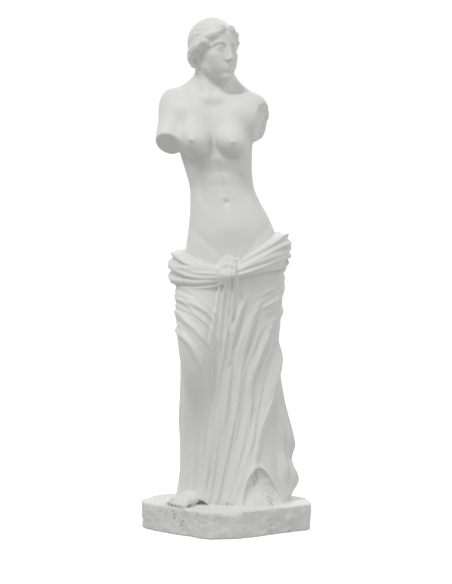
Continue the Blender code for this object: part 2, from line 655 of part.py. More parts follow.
    def reach_at(self, angle, height):
        """The cloth's reach, read between the grid's points."""
        a = (angle + math.pi) / (2 * math.pi) * self.across
        h = np.clip(height / CLOTH_TOP, 0, 0.99999) * (self.up - 1)
        i, j = np.floor(a).astype(int), np.floor(h).astype(int)
        fa, fh = a - i, h - j
        i0, i1 = i % self.across, (i + 1) % self.across
        low = self.reach[i0, j] * (1 - fa) + self.reach[i1, j] * fa
        high = self.reach[i0, j + 1] * (1 - fa) + self.reach[i1, j + 1] * fa
        return low * (1 - fh) + high * fh


# Each family of folds: how many, its first and last line of (angle in degrees, height, fullness),
# their width and depth, a seed for their differences and how far they sway in degrees
FOLD_FAMILIES = (
    # long folds that sweep from the high hip across the front to the hem between the feet
    (
        8,
        (
            (26, 0.470, 0.1),
            (10, 0.400, 0.7),
            (-8, 0.310, 0.9),
            (-18, 0.200, 1.0),
            (-28, 0.090, 1.0),
            (-40, 0.002, 0.9),
        ),
        (
            (92, 0.350, 0.0),
            (86, 0.300, 0.8),
            (72, 0.230, 1.0),
            (52, 0.150, 1.0),
            (30, 0.080, 0.9),
            (12, 0.002, 0.9),
        ),
        0.0170, 0.0125, 2.0, 2.0,
    ),
    # shorter folds between them that join on their way down
    (
        6,
        ((6, 0.330, 0.0), (-6, 0.240, 0.8), (-18, 0.120, 0.9), (-30, 0.002, 0.9)),
        ((80, 0.270, 0.0), (62, 0.190, 0.8), (38, 0.100, 0.9), (12, 0.002, 0.8)),
        0.0120, 0.0085, 3.0, 3.0,
    ),
    # falls outside the leg that carries the weight
    (
        5,
        ((112, 0.350, 0.0), (106, 0.240, 0.8), (102, 0.110, 1.0), (98, 0.002, 1.1)),
        ((148, 0.430, 0.0), (148, 0.320, 0.8), (144, 0.160, 1.0), (140, 0.002, 1.2)),
        0.0170, 0.0130, 1.0, 2.5,
    ),
    # slack folds that hang from the high hip and die out on the thigh
    (
        5,
        ((126, 0.492, 0.0), (98, 0.474, 0.9), (66, 0.446, 0.8), (36, 0.420, 0.0)),
        ((130, 0.430, 0.0), (108, 0.392, 0.8), (84, 0.352, 0.7), (62, 0.316, 0.0)),
        0.0130, 0.0075, 9.0, 3.0,
    ),
    # folds that arch over the free thigh and run down inside the knee
    (
        6,
        (
            (-128, 0.430, 0.0),
            (-96, 0.444, 0.7),
            (-56, 0.440, 0.7),
            (-26, 0.412, 0.9),
            (-6, 0.350, 0.9),
            (2, 0.270, 0.0),
        ),
        (
            (-112, 0.296, 0.0),
            (-94, 0.338, 0.8),
            (-68, 0.356, 0.8),
            (-44, 0.340, 0.9),
            (-29, 0.295, 0.8),
            (-24, 0.225, 0.0),
        ),
        0.0140, 0.0072, 4.0, 2.0,
    ),
    # soft falls from the free knee over the shin, and deeper ones outside it
    (
        3,
        ((-74, 0.270, 0.0), (-78, 0.180, 0.5), (-76, 0.090, 0.7), (-72, 0.002, 0.8)),
        ((-38, 0.240, 0.0), (-40, 0.160, 0.5), (-44, 0.080, 0.7), (-48, 0.002, 0.8)),
        0.0150, 0.0060, 5.0, 1.5,
    ),
    (
        5,
        ((-88, 0.350, 0.0), (-94, 0.250, 0.8), (-96, 0.120, 1.0), (-88, 0.002, 1.1)),
        ((-124, 0.440, 0.0), (-134, 0.280, 0.8), (-136, 0.120, 1.0), (-130, 0.002, 1.2)),
        0.0160, 0.0125, 6.0, 2.0,
    ),
    # falls behind, which slant from the high hip to the free foot
    (
        7,
        ((152, 0.400, 0.0), (158, 0.300, 0.6), (164, 0.180, 0.9), (158, 0.080, 1.0), (156, 0.002, 1.2)),
        ((214, 0.370, 0.0), (222, 0.290, 0.6), (226, 0.160, 0.9), (218, 0.080, 1.0), (220, 0.002, 1.2)),
        0.0180, 0.0135, 7.0, 3.0,
    ),
    # slack folds that hang under the seat
    (
        4,
        ((108, 0.500, 0.0), (150, 0.462, 0.8), (196, 0.452, 0.8), (250, 0.486, 0.0)),
        ((110, 0.440, 0.0), (154, 0.372, 0.7), (200, 0.352, 0.7), (252, 0.420, 0.0)),
        0.0140, 0.0065, 8.0, 2.0,
    ),
)

# The mantle's end that hangs from the tuck: its middle and half width in degrees, and its pleats
PANEL_MIDDLE = -2.0
PANEL_HALF_WIDTH = 25.0
PANEL_TOP = 0.49
PANEL_LOW = 0.250
PANEL_THICKNESS = 0.0060
PANEL_PLEATS = 4

# The train over the plinth's front corner: its middle and half width in degrees, height and spread
TRAIN_MIDDLE = 38.0
TRAIN_HALF_WIDTH = 34.0
TRAIN_HEIGHT = 0.235
TRAIN_SPREAD = 0.052
TRAIN_RIM = 0.0035
# Angle in degrees and height of the edge of its arch
TRAIN_ARCH = Curve(
    (
        (-180, -0.02),
        (9, -0.02),
        (16, 0.006),
        (23, 0.040),
        (31, 0.070),
        (38, 0.078),
        (45, 0.070),
        (53, 0.038),
        (60, 0.006),
        (67, -0.02),
        (180, -0.02),
    )
)

# The mantle's end beside the carrying leg: its middle and half width in degrees
SIDE_FALL_MIDDLE = 84.0
SIDE_FALL_HALF_WIDTH = 14.0
# Height and reach over the cloth of its stepped edge
SIDE_FALL_EDGE = (
    (0.000, 0.008),
    (0.012, 0.012),
    (0.056, 0.048),
    (0.086, 0.020),
    (0.124, 0.042),
    (0.190, 0.014),
    (0.300, 0.000),
)
# Angle beside its middle, lift of the edge and share of the reach of each pleat
SIDE_FALL_PLEATS = ((0.0, 0.000, 0.80), (9.0, -0.010, 1.00), (19.0, 0.022, 0.70))


def draped(across, up, softness):
    """The finished cloth on a grid of that fineness."""
    cloth = Cloth(across, up)
    for count, first, last, width, depth, seed, sway in FOLD_FAMILIES:
        cloth.family(count, first, last, width, depth, seed, sway)
    cloth.hang_panel()
    cloth.hang_side_fall()
    cloth.soften(softness)
    return cloth


# Angle in degrees and height of the cloth's upper edge
UPPER_EDGE = Curve(
    (
        (-180, 0.549),
        (-120, 0.526),
        (-75, 0.513),
        (-30, 0.498),
        (0, 0.500),
        (35, 0.520),
        (80, 0.551),
        (130, 0.559),
        (180, 0.549),
    )
)
# Angle in degrees and height of the hem, which lifts over the toes
LOWER_EDGE = Curve(
    (
        (-180, 0.004),
        (-90, 0.006),
        (-62, 0.014),
        (-46, 0.022),
        (-24, 0.003),
        (8, -0.004),
        (95, -0.004),
        (180, 0.004),
    )
)
TUCK_ANGLE = 2.0
TUCK = (0.004, -0.068, 0.478)
ROLL_STRANDS = 9
# How far the rock lies behind the arch's edge, and how far it comes out again at its foot
ROCK_RECESS = 0.0085
ROCK_FOOT = 0.016


def around_middle(p):
    """The angle and distance of points about the cloth's middle line."""
    x, y = CLOTH_MIDDLE(p[:, 2])
    dx, dy = p[:, 0] - x, p[:, 1] - y
    return np.arctan2(dx, -dy), np.hypot(dx, dy)


def drapery(p, cloth):
    """The cloth from its rolled edge at the hips to the hem."""
    angle, out = around_middle(p)
    degrees = np.degrees(angle)
    reach = cloth.reach_at(angle, p[:, 2])
    top = UPPER_EDGE(degrees)[0]
    d = keep_within(out - reach, p[:, 2] - top + 0.014, 0.012)
    hem = np.maximum(LOWER_EDGE(degrees)[0], TRAIN_ARCH(degrees)[0])
    d = keep_within(d, hem - p[:, 2], 0.002)
    core = np.maximum(out - reach + 0.020, p[:, 2] - 0.4)
    d = np.minimum(d, core)
    return blend_in(d, rolled_edge(angle, out, p[:, 2], top, cloth), 0.0025)


def filling(p, cloth):
    """The broken rock under the train's arch, a little behind its edge and out again below."""
    angle, out = around_middle(p)
    arch = TRAIN_ARCH(np.degrees(angle))[0]
    low = np.clip(1 - p[:, 2] / 0.045, 0, 1)
    reach = cloth.reach_at(angle, p[:, 2]) - ROCK_RECESS + ROCK_FOOT * low**1.6
    return keep_within((out - reach) * 0.9, p[:, 2] - arch - 0.004 - 0.006 * low, 0.004)


def rolled_edge(angle, out, height, top, cloth):
    """The cloth's rolled upper edge: strands that cross each other and draw together at the tuck."""
    base = cloth.reach_at(angle, top - 0.034)
    apart = np.abs(np.degrees(angle) - TUCK_ANGLE)
    spread = 0.30 + 0.70 * np.clip(apart / 70, 0, 1) ** 0.8
    proud = 0.004 * np.clip((apart - 40) / 50, 0, 1)
    band = np.abs(height - top + 0.033) / (0.028 * spread + 0.004)
    d = (out - base - proud - 0.0070 * np.sqrt(np.clip(1 - band**2, 0, 1))) * 0.8
    d = keep_within(d, (band - 1) * 0.02, 0.008)
    half = (ROLL_STRANDS - 1) / 2
    for i in range(ROLL_STRANDS):
        place = (i - half) / (half + 0.5)
        turn = 2.0 * angle + 2.2 * i
        wander = 0.0050 * np.sin(turn) + 0.0024 * np.sin(3 * angle + i)
        middle = top - 0.033 + spread * (0.031 * place + wander)
        centre = base + proud + 0.0012 + 0.0030 * np.cos(turn + 0.9 * i) * spread + 0.006 * (1 - place**2)
        thick = (0.0054 + 0.0014 * np.sin(2 * angle + 1.9 * i)) * (0.80 + 0.20 * spread)
        strand = np.hypot(out - centre, height - middle) * 0.9 - thick
        d = blend_in(d, strand, 0.0024)
    return d


def tuck(p):
    """The gathered cloth that is pulled up through the rolled edge in front and falls over it."""
    q = p - np.array(TUCK)
    knot = ((-0.018, 0.008, 0.004, 0.010), (0.000, 0.000, 0.014, 0.013), (0.018, 0.006, 0.020, 0.010))
    d = limbs(q, knot, 0.006)
    for i in range(6):
        x = -0.0150 + 0.0060 * i
        bend = 0.0015 * math.sin(2.1 * i)
        fold = (
            (x * 0.35 + 0.004, 0.008, 0.036, 0.0036),
            (x * 0.60 + 0.002, -0.009 + bend, 0.027, 0.0050),
            (x * 0.90, -0.015 + bend, 0.004, 0.0048),
            (x * 1.15 - 0.001, -0.009 - bend, -0.022, 0.0044),
            (x * 1.45 - 0.003, 0.002, -0.050, 0.0036),
        )
        d = blend_in(d, limbs(q, fold, 0.004), 0.0018)
    return d


FOOT_ANKLE = (0.052, -0.010)
FOOT_TURN = 30.0


def foot(p):
    """The bare right foot that shows under the hem."""
    q = turned(p * np.array([-1, 1, 1]), (*FOOT_ANKLE, 0.0), FOOT_TURN)
    d = limb(q, (0, 0.020, 0.024), (0, -0.058, 0.015), 0.023, 0.014)
    d = blend_in(d, limb(q, (-0.013, -0.030, 0.017), (-0.015, -0.072, 0.0115), 0.014, 0.0110), 0.012)
    d = blend_in(d, limb(q, (0.012, -0.025, 0.015), (0.017, -0.064, 0.0100), 0.013, 0.0100), 0.012)
    for i in range(5):
        across = -0.0185 + 0.0098 * i + (0.0012 if i else 0.0)
        long = 0.096 - 0.0045 * i - (0.005 if i == 0 else 0.0)
        thick = 0.0084 if i == 0 else 0.0062 - 0.0004 * i
        toe = (
            (across * 0.88, -0.062, 0.0130, thick),
            (across, -long + 0.011, 0.0140, thick * 0.90),
            (across * 1.04, -long, 0.0088, thick),
        )
        d = blend_in(d, limbs(q, toe, 0.004), 0.0035)
    return np.maximum(d, -q[:, 2] - 0.01)


def only_between(p, field, low, high, *more):
    """A field worked out only between two heights, and far away elsewhere."""
    d = np.full(len(p), 0.5)
    near = (p[:, 2] > low) & (p[:, 2] < high)
    if near.any():
        d[near] = field(p[near], *more)
    return d


def body(p):
    """The trunk, arms and neck, which sway together."""
    q = trunk_frame(p)
    d = blend_in(trunk(q), only_between(q, arms, 0.60, 0.95), 0.016)
    return blend_in(d, only_between(q, neck, 0.72, 1.0), 0.018)


def dress(p, cloth):
    """The cloth with the tuck in front."""
    return blend_in(drapery(p, cloth), only_between(p, tuck, 0.36, 0.58), 0.003)


def figure(p, cloth):
    """The whole figure, in shares of its height."""
    d = only_between(p, body, 0.38, 1.1)
    d = blend_in(d, only_between(p, head, 0.79, 1.2), 0.010)
    d = np.minimum(d, only_between(p, dress, -0.1, 0.66, cloth))
    return blend_in(d, only_between(p, foot, -0.1, 0.11), 0.003)


# Corners of the plinth seen from above, as shares of its half width and half depth
PLINTH_CORNERS = (
    (-1.00, 0.06),
    (-0.94, -0.16),
    (-0.20, -1.00),
    (0.16, -0.96),
    (1.00, -0.24),
    (0.98, 0.30),
    (0.62, 0.94),
    (-0.34, 1.00),
    (-0.86, 0.56),
)


def stone_roughness(p):
    """The broken stone's relief: broad facets, lumps and upright chisel strokes."""
    rough = 0.0022 * roughness_noise(p, 0.030, 11) + 0.0008 * roughness_noise(p, 0.011, 12)
    strokes = roughness_noise(p * np.array([1.0, 1.0, 0.30]), 0.0075, 14)
    return rough + 0.0008 * np.clip(strokes - 0.1, 0, 1)


def plinth_sides(p, rough):
    """The distance out of the plinth's nearest side."""
    corners = np.array(PLINTH_CORNERS) * np.array([PLINTH_WIDTH, PLINTH_DEPTH]) / 2
    side = np.full(len(p), -1.0)
    for a, b in zip(corners, np.roll(corners, -1, axis=0)):
        along = (b - a) / np.linalg.norm(b - a)
        plane = (p[:, 0] - a[0]) * along[1] - (p[:, 1] - a[1]) * along[0] + rough
        side = keep_within(side, plane, 0.008)
    return side + 0.05 * (PLINTH_HEIGHT - p[:, 2])


def plinth(p):
    """The low slab, in metres, with rough broken sides, a chipped upper edge and a smooth top."""
    rough = stone_roughness(p)
    side = plinth_sides(p, rough)
    top = p[:, 2] - PLINTH_HEIGHT + 0.12 * rough
    chips = 0.0045 * np.clip(roughness_noise(p, 0.019, 16) - 0.15, 0, 1)
    d = keep_within(side, top, PLINTH_EDGE_ROUNDING / 2)
    d = np.maximum(d, (side + top) * 0.7 + 0.0012 + chips)
    return np.maximum(d, -p[:, 2])


def statue(p, cloth):
    """The whole casting, in metres."""
    place = np.array([FIGURE_SHIFT_X, FIGURE_SHIFT_Y, PLINTH_HEIGHT - 0.002])
    d = plinth(p)
    above = p[:, 2] > PLINTH_HEIGHT - 0.02
    near = above & (p[:, 0] > 0.0) & (p[:, 1] < 0.0) & (p[:, 2] < PLINTH_HEIGHT + 0.11 * FIGURE_HEIGHT)
    if near.any():
        rock = filling((p[near] - place) / FIGURE_HEIGHT, cloth) * FIGURE_HEIGHT
        rock = np.maximum(rock, plinth_sides(p[near], 0.0)) + 1.3 * stone_roughness(p[near])
        d[near] = blend_in(d[near], rock, 0.003)
    if above.any():
        standing = figure((p[above] - place) / FIGURE_HEIGHT, cloth) * FIGURE_HEIGHT
        d[above] = blend_in(d[above], standing, 0.0015)
    return d


# From the field to a mesh


def sample_field(field, low, high, cell):
    """The field's values on a grid, worked out only in blocks that the surface may cross."""
    blocks = np.ceil((high - low) / cell / BLOCK).astype(int) + 1
    index = np.stack(np.meshgrid(*(np.arange(n) for n in blocks), indexing="ij"), -1).reshape(-1, 3)
    middles = low + (index * BLOCK + (BLOCK - 1) / 2) * cell
    at_middle = in_chunks(field, middles)
    values = np.where(at_middle > 0, 1.0, -1.0).astype(np.float32).reshape(blocks)
    values = values.repeat(BLOCK, 0).repeat(BLOCK, 1).repeat(BLOCK, 2)
    near = index[np.abs(at_middle) < STEEPEST * cell * (BLOCK * 0.87 + 1)]
    within = np.stack(np.meshgrid(*(np.arange(BLOCK),) * 3, indexing="ij"), -1).reshape(-1, 3)
    points = low + (near[:, None, :] * BLOCK + within).reshape(-1, 3) * cell
    found = in_chunks(field, points).astype(np.float32).reshape(-1, BLOCK, BLOCK, BLOCK)
    grid = values.reshape(blocks[0], BLOCK, blocks[1], BLOCK, blocks[2], BLOCK)
    grid[near[:, 0], :, near[:, 1], :, near[:, 2], :] = found
    return values


def in_chunks(field, points, size=60000):
    return np.concatenate([field(points[i : i + size]) for i in range(0, len(points), size)])


def settle_crossings(values):
    """Fills in where two edges would touch, so that every edge of the mesh has two faces."""
    for _ in range(30):
        changed = 0
        for axis in range(3):
            u, v = (axis + 1) % 3, (axis + 2) % 3
            corners = [[slice(None)] * 3 for _ in range(4)]
            for n, (a, b) in enumerate(((0, 0), (1, 0), (1, 1), (0, 1))):
                corners[n][u] = slice(a, values.shape[u] - 1 + a)
                corners[n][v] = slice(b, values.shape[v] - 1 + b)
            parts = [values[tuple(c)] for c in corners]
            inside = [part < 0 for part in parts]
            for first in (0, 1):
                a, b = first, first + 2
                c, d = (first + 1) % 4, (first + 3) % 4
                bad = inside[a] & inside[b] & ~inside[c] & ~inside[d]
                if bad.any():
                    parts[c][bad] = -1e-5
                    changed += int(bad.sum())
                    inside = [part < 0 for part in parts]
        if not changed:
            return values
    return values


def surface(values, low, cell):
    """Corners and four-sided faces of the surface where the values change sign."""
    inside = values < 0
    shape = np.array(values.shape)
    stride = np.array([shape[1] * shape[2], shape[2], 1])
    ids, places, order = [], [], []
    for axis in range(3):
        near, far = [slice(None)] * 3, [slice(None)] * 3
        near[axis], far[axis] = slice(0, -1), slice(1, None)
        start = np.argwhere(inside[tuple(near)] != inside[tuple(far)])
        step = np.zeros(3, int)
        step[axis] = 1
        a, b = values[tuple(start.T)].astype(float), values[tuple((start + step).T)].astype(float)
        where = start + step * (a / (a - b))[:, None]
        u, v = np.zeros(3, int), np.zeros(3, int)
        u[(axis + 1) % 3], v[(axis + 2) % 3] = 1, 1
        around = np.stack([start - u - v, start - v, start, start - u], axis=1) @ stride
        around = np.where((a < 0)[:, None], around, around[:, ::-1])
        ids.append(around)
        places.append(where)
    ids = np.concatenate(ids)
    places = np.concatenate(places)
    cells, face = np.unique(ids.ravel(), return_inverse=True)
    count = np.bincount(face)
    points = [np.bincount(face, weights=np.repeat(places[:, k], 4)) / count for k in range(3)]
    return low + np.stack(points, axis=1) * cell, face.reshape(-1, 4)


def largest_body(points, faces):
    """Only the body with the most corners, without specks."""
    label = np.arange(len(points))
    while True:
        least = label[faces].min(axis=1)
        new = label.copy()
        for k in range(4):
            np.minimum.at(new, faces[:, k], least)
        new = new[new]
        if (new == label).all():
            break
        label = new
    keep = label == np.bincount(label).argmax()
    number = np.cumsum(keep) - 1
    return points[keep], number[faces[keep[faces[:, 0]]]]


def carve(cell, across=540, up=420, softness=6):
    """The statue's corners and faces, on cells of that size."""
    cloth = draped(across, up, softness)
    width, depth = max(PLINTH_WIDTH, 0.26 * FIGURE_HEIGHT), max(PLINTH_DEPTH, 0.2 * FIGURE_HEIGHT)
    half = np.array([width, depth]) / 2
    margin = 4 * cell
    low = np.array([-half[0] - margin, -half[1] - margin, -margin])
    high = np.array([half[0] + margin, half[1] + margin, PLINTH_HEIGHT + 1.03 * FIGURE_HEIGHT + margin])
    values = settle_crossings(sample_field(lambda p: statue(p, cloth), low, high, cell))
    return largest_body(*surface(values, low, cell))


def mesh_of(name, points, faces):
    mesh = bpy.data.meshes.new(name)
    mesh.vertices.add(len(points))
    mesh.vertices.foreach_set("co", points.astype(np.float32).ravel())
    mesh.loops.add(faces.size)
    mesh.loops.foreach_set("vertex_index", faces.astype(np.int32).ravel())
    mesh.polygons.add(len(faces))
    mesh.polygons.foreach_set("loop_start", np.arange(0, faces.size, 4, dtype=np.int32))
    mesh.update(calc_edges=True)
    mesh.validate()
    return mesh


def white_cast():
    """Matt white casting."""
    material = bpy.data.materials.new("white_cast")
    material.use_nodes = True
    shader = material.node_tree.nodes["Principled BSDF"]
    shader.inputs["Base Color"].default_value = (0.82, 0.82, 0.80, 1)
    shader.inputs["Roughness"].default_value = 0.62
    shader.inputs["Metallic"].default_value = 0.0
    return material


def faces_round(corner):
    """The groups of faces round a corner that hang together by their edges."""
    left, groups = list(corner.link_faces), []
    while left:
        group, found = [], [left.pop()]
        while found:
            face = found.pop()
            group.append(face)
            for edge in face.edges:
                if corner in edge.verts:
                    found += [near for near in left if near in edge.link_faces]
                    left = [near for near in left if near not in edge.link_faces]
        groups.append(group)
    return groups


def part_corners(shape):
    """Draws apart two sheets of the surface that touch in one corner only."""
    for corner in [v for v in shape.verts if v.link_faces and not v.is_manifold]:
        for group in faces_round(corner)[1:]:
            others = dict.fromkeys(v for face in group for v in face.verts if v is not corner)
            middle = sum((v.co for v in others), Vector()) / len(others)
            fresh = shape.verts.new(corner.co.lerp(middle, 0.25))
            for face in group:
                shape.faces.new([fresh if v is corner else v for v in face.verts])
            bmesh.ops.delete(shape, geom=group, context="FACES_ONLY")
    bmesh.ops.delete(shape, geom=[e for e in shape.edges if not e.link_faces], context="EDGES")
    bmesh.ops.delete(shape, geom=[v for v in shape.verts if not v.link_faces], context="VERTS")


def close_up(shape):
    """Takes away the few faces where an edge hasn't just two of them, and fills their place."""
    for _ in range(8):
        hanging = [f for f in shape.faces if sum(len(e.link_faces) == 1 for e in f.edges) >= 2]
        wrong = [e for e in shape.edges if len(e.link_faces) != 2]
        bad = hanging or list(dict.fromkeys(f for e in wrong for f in e.link_faces))
        if not bad:
            break
        bmesh.ops.delete(shape, geom=bad, context="FACES")
        rim = [e for e in shape.edges if len(e.link_faces) == 1]
        filled = bmesh.ops.holes_fill(shape, edges=rim, sides=0)["faces"]
        bmesh.ops.triangulate(shape, faces=filled)


def keep_largest(shape):
    """Drops the specks that thinning left beside the body."""
    left, bodies = dict.fromkeys(shape.verts), []
    while left:
        found, body = [left.popitem()[0]], []
        while found:
            corner = found.pop()
            body.append(corner)
            near = [edge.other_vert(corner) for edge in corner.link_edges]
            for other in [other for other in near if other in left]:
                del left[other]
                found.append(other)
        bodies.append(body)
    bodies.sort(key=len)
    for body in bodies[:-1]:
        bmesh.ops.delete(shape, geom=body, context="VERTS")


def mended(mesh):
    """The mesh as one closed surface that doesn't touch itself."""
    shape = bmesh.new()
    shape.from_mesh(mesh)
    close_up(shape)
    part_corners(shape)
    keep_largest(shape)
    shape.to_mesh(mesh)
    shape.free()
    return mesh


def smooth_crossings(mesh):
    """Evens out the surface round the few faces that thinning pushed through each other."""
    shape = bmesh.new()
    shape.from_mesh(mesh)
    for _ in range(12):
        shape.faces.ensure_lookup_table()
        tree = BVHTree.FromBMesh(shape)
        pairs = [(shape.faces[a], shape.faces[b]) for a, b in sorted(tree.overlap(tree)) if a < b]
        crossing = [pair for pair in pairs if not set(pair[0].verts) & set(pair[1].verts)]
        if not crossing:
            break
        faces = [face for pair in crossing for face in pair]
        corners = list(dict.fromkeys(corner for face in faces for corner in face.verts))
        axes = dict(use_axis_x=True, use_axis_y=True, use_axis_z=True)
        bmesh.ops.smooth_vert(shape, verts=corners, factor=0.5, **axes)
        shape.to_mesh(mesh)
    shape.free()
    return mesh


def thin_out(obj):
    """Leaves the head finer triangles than the rest."""
    points = np.empty(len(obj.data.vertices) * 3, np.float32)
    obj.data.vertices.foreach_get("co", points)
    on_head = points[2::3] > PLINTH_HEIGHT + HEAD_FROM * FIGURE_HEIGHT
    head_faces = sum(all(on_head[i] for i in face.vertices) for face in obj.data.polygons)
    triangles = 2 * len(obj.data.polygons)
    stages = (
        ("body", ~on_head, BODY_TRIANGLES + 2 * head_faces),
        ("head", on_head, BODY_TRIANGLES + HEAD_TRIANGLES),
    )
    for name, chosen, kept in stages:
        group = obj.vertex_groups.new(name=name)
        group.add([int(i) for i in np.flatnonzero(chosen)], 1.0, "REPLACE")
        fewer = obj.modifiers.new("fewer_on_" + name, "DECIMATE")
        fewer.vertex_group = name
        fewer.vertex_group_factor = 1.0
        fewer.ratio = kept / triangles
        triangles = kept


def main():
    for obj in list(bpy.data.objects):
        bpy.data.objects.remove(obj)
    points, faces = carve(CELL)
    middle = (points.min(axis=0) + points.max(axis=0)) / 2
    points = points - np.array([middle[0], middle[1], points[:, 2].min()])
    carved = bpy.data.objects.new("carved", mended(mesh_of("carved", points, faces)))
    bpy.context.scene.collection.objects.link(carved)
    thin_out(carved)
    graph = bpy.context.evaluated_depsgraph_get()
    thinned = bpy.data.meshes.new_from_object(carved.evaluated_get(graph), depsgraph=graph)
    bpy.data.objects.remove(carved)
    thinned.name = "statue"
    obj = bpy.data.objects.new("statue", smooth_crossings(mended(thinned)))
    bpy.context.scene.collection.objects.link(obj)
    obj.data.materials.append(white_cast())
    obj.data.shade_smooth()


if __name__ == "__main__":
    main()
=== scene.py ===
"""A half-draped goddess in matt white cast, standing on a low rough plinth.

The figure is carved as a field of distances: rounded forms are joined smoothly, and the mantle is a
surface round both legs whose folds are drawn as families of ridges and grooves. The field becomes
one closed mesh in the place of the frame's solid. Its broken stone, grain, paler edges and the shade
painted into its hollows follow masks that are measured on the finished form. The figure's own
places and sizes are shares of its height.

Axes: +Z up, +X to the viewer's right, the figure faces -Y. Her left side is the viewer's right.
"""

from __future__ import annotations

import json
import logging
import math
from concurrent.futures import ThreadPoolExecutor
from dataclasses import dataclass, field
from enum import Enum
from typing import Callable, Sequence

import bpy
import numpy as np
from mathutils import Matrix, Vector

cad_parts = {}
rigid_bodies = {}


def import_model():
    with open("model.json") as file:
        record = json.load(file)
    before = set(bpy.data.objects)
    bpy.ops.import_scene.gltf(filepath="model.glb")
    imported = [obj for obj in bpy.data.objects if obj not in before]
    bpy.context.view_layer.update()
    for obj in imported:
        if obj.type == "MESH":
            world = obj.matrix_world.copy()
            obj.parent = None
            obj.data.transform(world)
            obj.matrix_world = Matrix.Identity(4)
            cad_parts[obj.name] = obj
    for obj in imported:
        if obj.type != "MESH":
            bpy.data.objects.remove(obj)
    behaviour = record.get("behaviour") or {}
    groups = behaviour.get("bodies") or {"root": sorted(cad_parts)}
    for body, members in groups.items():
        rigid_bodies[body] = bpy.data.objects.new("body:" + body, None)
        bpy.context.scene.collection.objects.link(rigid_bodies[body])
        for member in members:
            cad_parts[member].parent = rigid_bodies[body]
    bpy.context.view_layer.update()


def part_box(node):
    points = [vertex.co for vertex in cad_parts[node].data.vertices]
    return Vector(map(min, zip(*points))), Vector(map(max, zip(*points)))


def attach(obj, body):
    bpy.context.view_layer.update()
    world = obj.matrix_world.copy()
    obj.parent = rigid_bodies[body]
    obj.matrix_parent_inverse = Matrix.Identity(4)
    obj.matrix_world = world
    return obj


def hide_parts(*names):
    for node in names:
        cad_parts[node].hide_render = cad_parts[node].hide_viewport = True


Array = np.ndarray
Field = Callable[[Array], Array]
Rows = Sequence[Sequence[float]]

LOG = logging.getLogger("statue")
NODE = "statue"
SLOT = "white_cast"
FINE_CELL, COARSE_CELL = 0.0018, 0.0034
# A distance that counts as far away, and one that lies just inside the surface
FAR, JUST_INSIDE = 0.5, -1e-5
# Factors that scatter the numbers of places and seeds
SCATTER = (374761393, 668265263, 2147483647, 974634777)
MIXER = 1274126177
# Sizes in metres and the seed of the broken stone's relief, by the names of its sockets
RELIEF = {
    "Lump Size": 0.0055,
    "Lump Depth": 0.0005,
    "Pit Size": 0.0042,
    "Pit Depth": 0.0007,
    "Seed": 7.0,
}


class FoldKind(Enum):
    """How a fold changes the cloth."""

    RIDGE = "ridge"
    CREASE = "crease"
    GROOVE = "groove"


class Mask(Enum):
    """The measured masks that the finish reads, by the name of their attribute."""

    # How enclosed a point is, which the finish paints as shade
    HOLLOW = "hollow"
    ROCK = "rock"
    BREAK = "break"
    EDGE = "edge"


# Forms


class Curve:
    """A smooth curve through rows of (position, value, value...)."""

    def __init__(self, rows: Rows, samples: int = 400) -> None:
        """Works out the curve.

        Args:
            rows: the points that it passes, in order of their position.
            samples: how many points it is kept at.
        """
        table = np.array(rows, float)
        at, values = table[:, 0], table[:, 1:]
        slopes = np.gradient(values, at, axis=0)
        self.at = np.linspace(at[0], at[-1], samples)
        i = np.clip(np.searchsorted(at, self.at, side="right") - 1, 0, len(at) - 2)
        span = (at[i + 1] - at[i])[:, None]
        u = (self.at - at[i])[:, None] / span
        self.values = (
            (2 * u**3 - 3 * u**2 + 1) * values[i]
            + (u**3 - 2 * u**2 + u) * span * slopes[i]
            + (3 * u**2 - 2 * u**3) * values[i + 1]
            + (u**3 - u**2) * span * slopes[i + 1]
        )

    def __call__(self, at: Array) -> list[Array]:
        """The curve's values at those positions, one array for each."""
        return [np.interp(at, self.at, column) for column in self.values.T]


def blend_in(a: Array, b: Array, k: float) -> Array:
    """The union of two fields, rounded over a width k where they meet."""
    h = np.clip(0.5 + 0.5 * (b - a) / k, 0.0, 1.0)
    return b + (a - b) * h - k * h * (1.0 - h)


def cut_out(a: Array, b: Array, k: float) -> Array:
    """Field a with field b carved out of it, rounded over a width k."""
    return -blend_in(-a, b, k)


def keep_within(a: Array, b: Array, k: float) -> Array:
    """What fields a and b share, rounded over a width k at the edge."""
    return -blend_in(-a, -b, k)


def ellipsoid(p: Array, centre: Sequence[float], radii: Sequence[float]) -> Array:
    """About the distance to an ellipsoid along the axes."""
    q = (p - np.array(centre)) / np.array(radii)
    near = np.sqrt((q * q).sum(axis=1)) + 1e-9
    q = q / np.array(radii)
    return near * (near - 1.0) / (np.sqrt((q * q).sum(axis=1)) + 1e-9)


def limb(p: Array, start: Sequence[float], end: Sequence[float], r_start: float, r_end: float) -> Array:
    """The distance to a rounded bar whose radius runs from one end's to the other's."""
    a, b = np.array(start, float), np.array(end, float)
    along = b - a
    t = np.clip((p - a) @ along / (along @ along), 0.0, 1.0)
    return np.sqrt(((p - a - t[:, None] * along) ** 2).sum(axis=1)) - (r_start + (r_end - r_start) * t)


def limbs(p: Array, rows: Rows, k: float) -> Array:
    """Rounded bars in a chain through rows of (x, y, z, radius), joined over a width k."""
    d = limb(p, rows[0][:3], rows[1][:3], rows[0][3], rows[1][3])
    for a, b in zip(rows[1:], rows[2:]):
        d = blend_in(d, limb(p, a[:3], b[:3], a[3], b[3]), k)
    return d


def bump(p: Array, centre: Sequence[float], size: Sequence[float]) -> Array:
    """A soft mound of height 1 round a centre, with a width along each axis."""
    q = (p - np.array(centre)) / np.array(size)
    return np.exp(-(q * q).sum(axis=1))


def rising(x: Array, start: float, width: float) -> Array:
    """A ramp that is 0 up to a start and reaches 1 a width further on."""
    return np.clip((x - start) / width, 0, 1)


def falling(x: Array, end: float, width: float) -> Array:
    """A ramp that leaves 1 a width before an end and is 0 from there on."""
    return np.clip((end - x) / width, 0, 1)


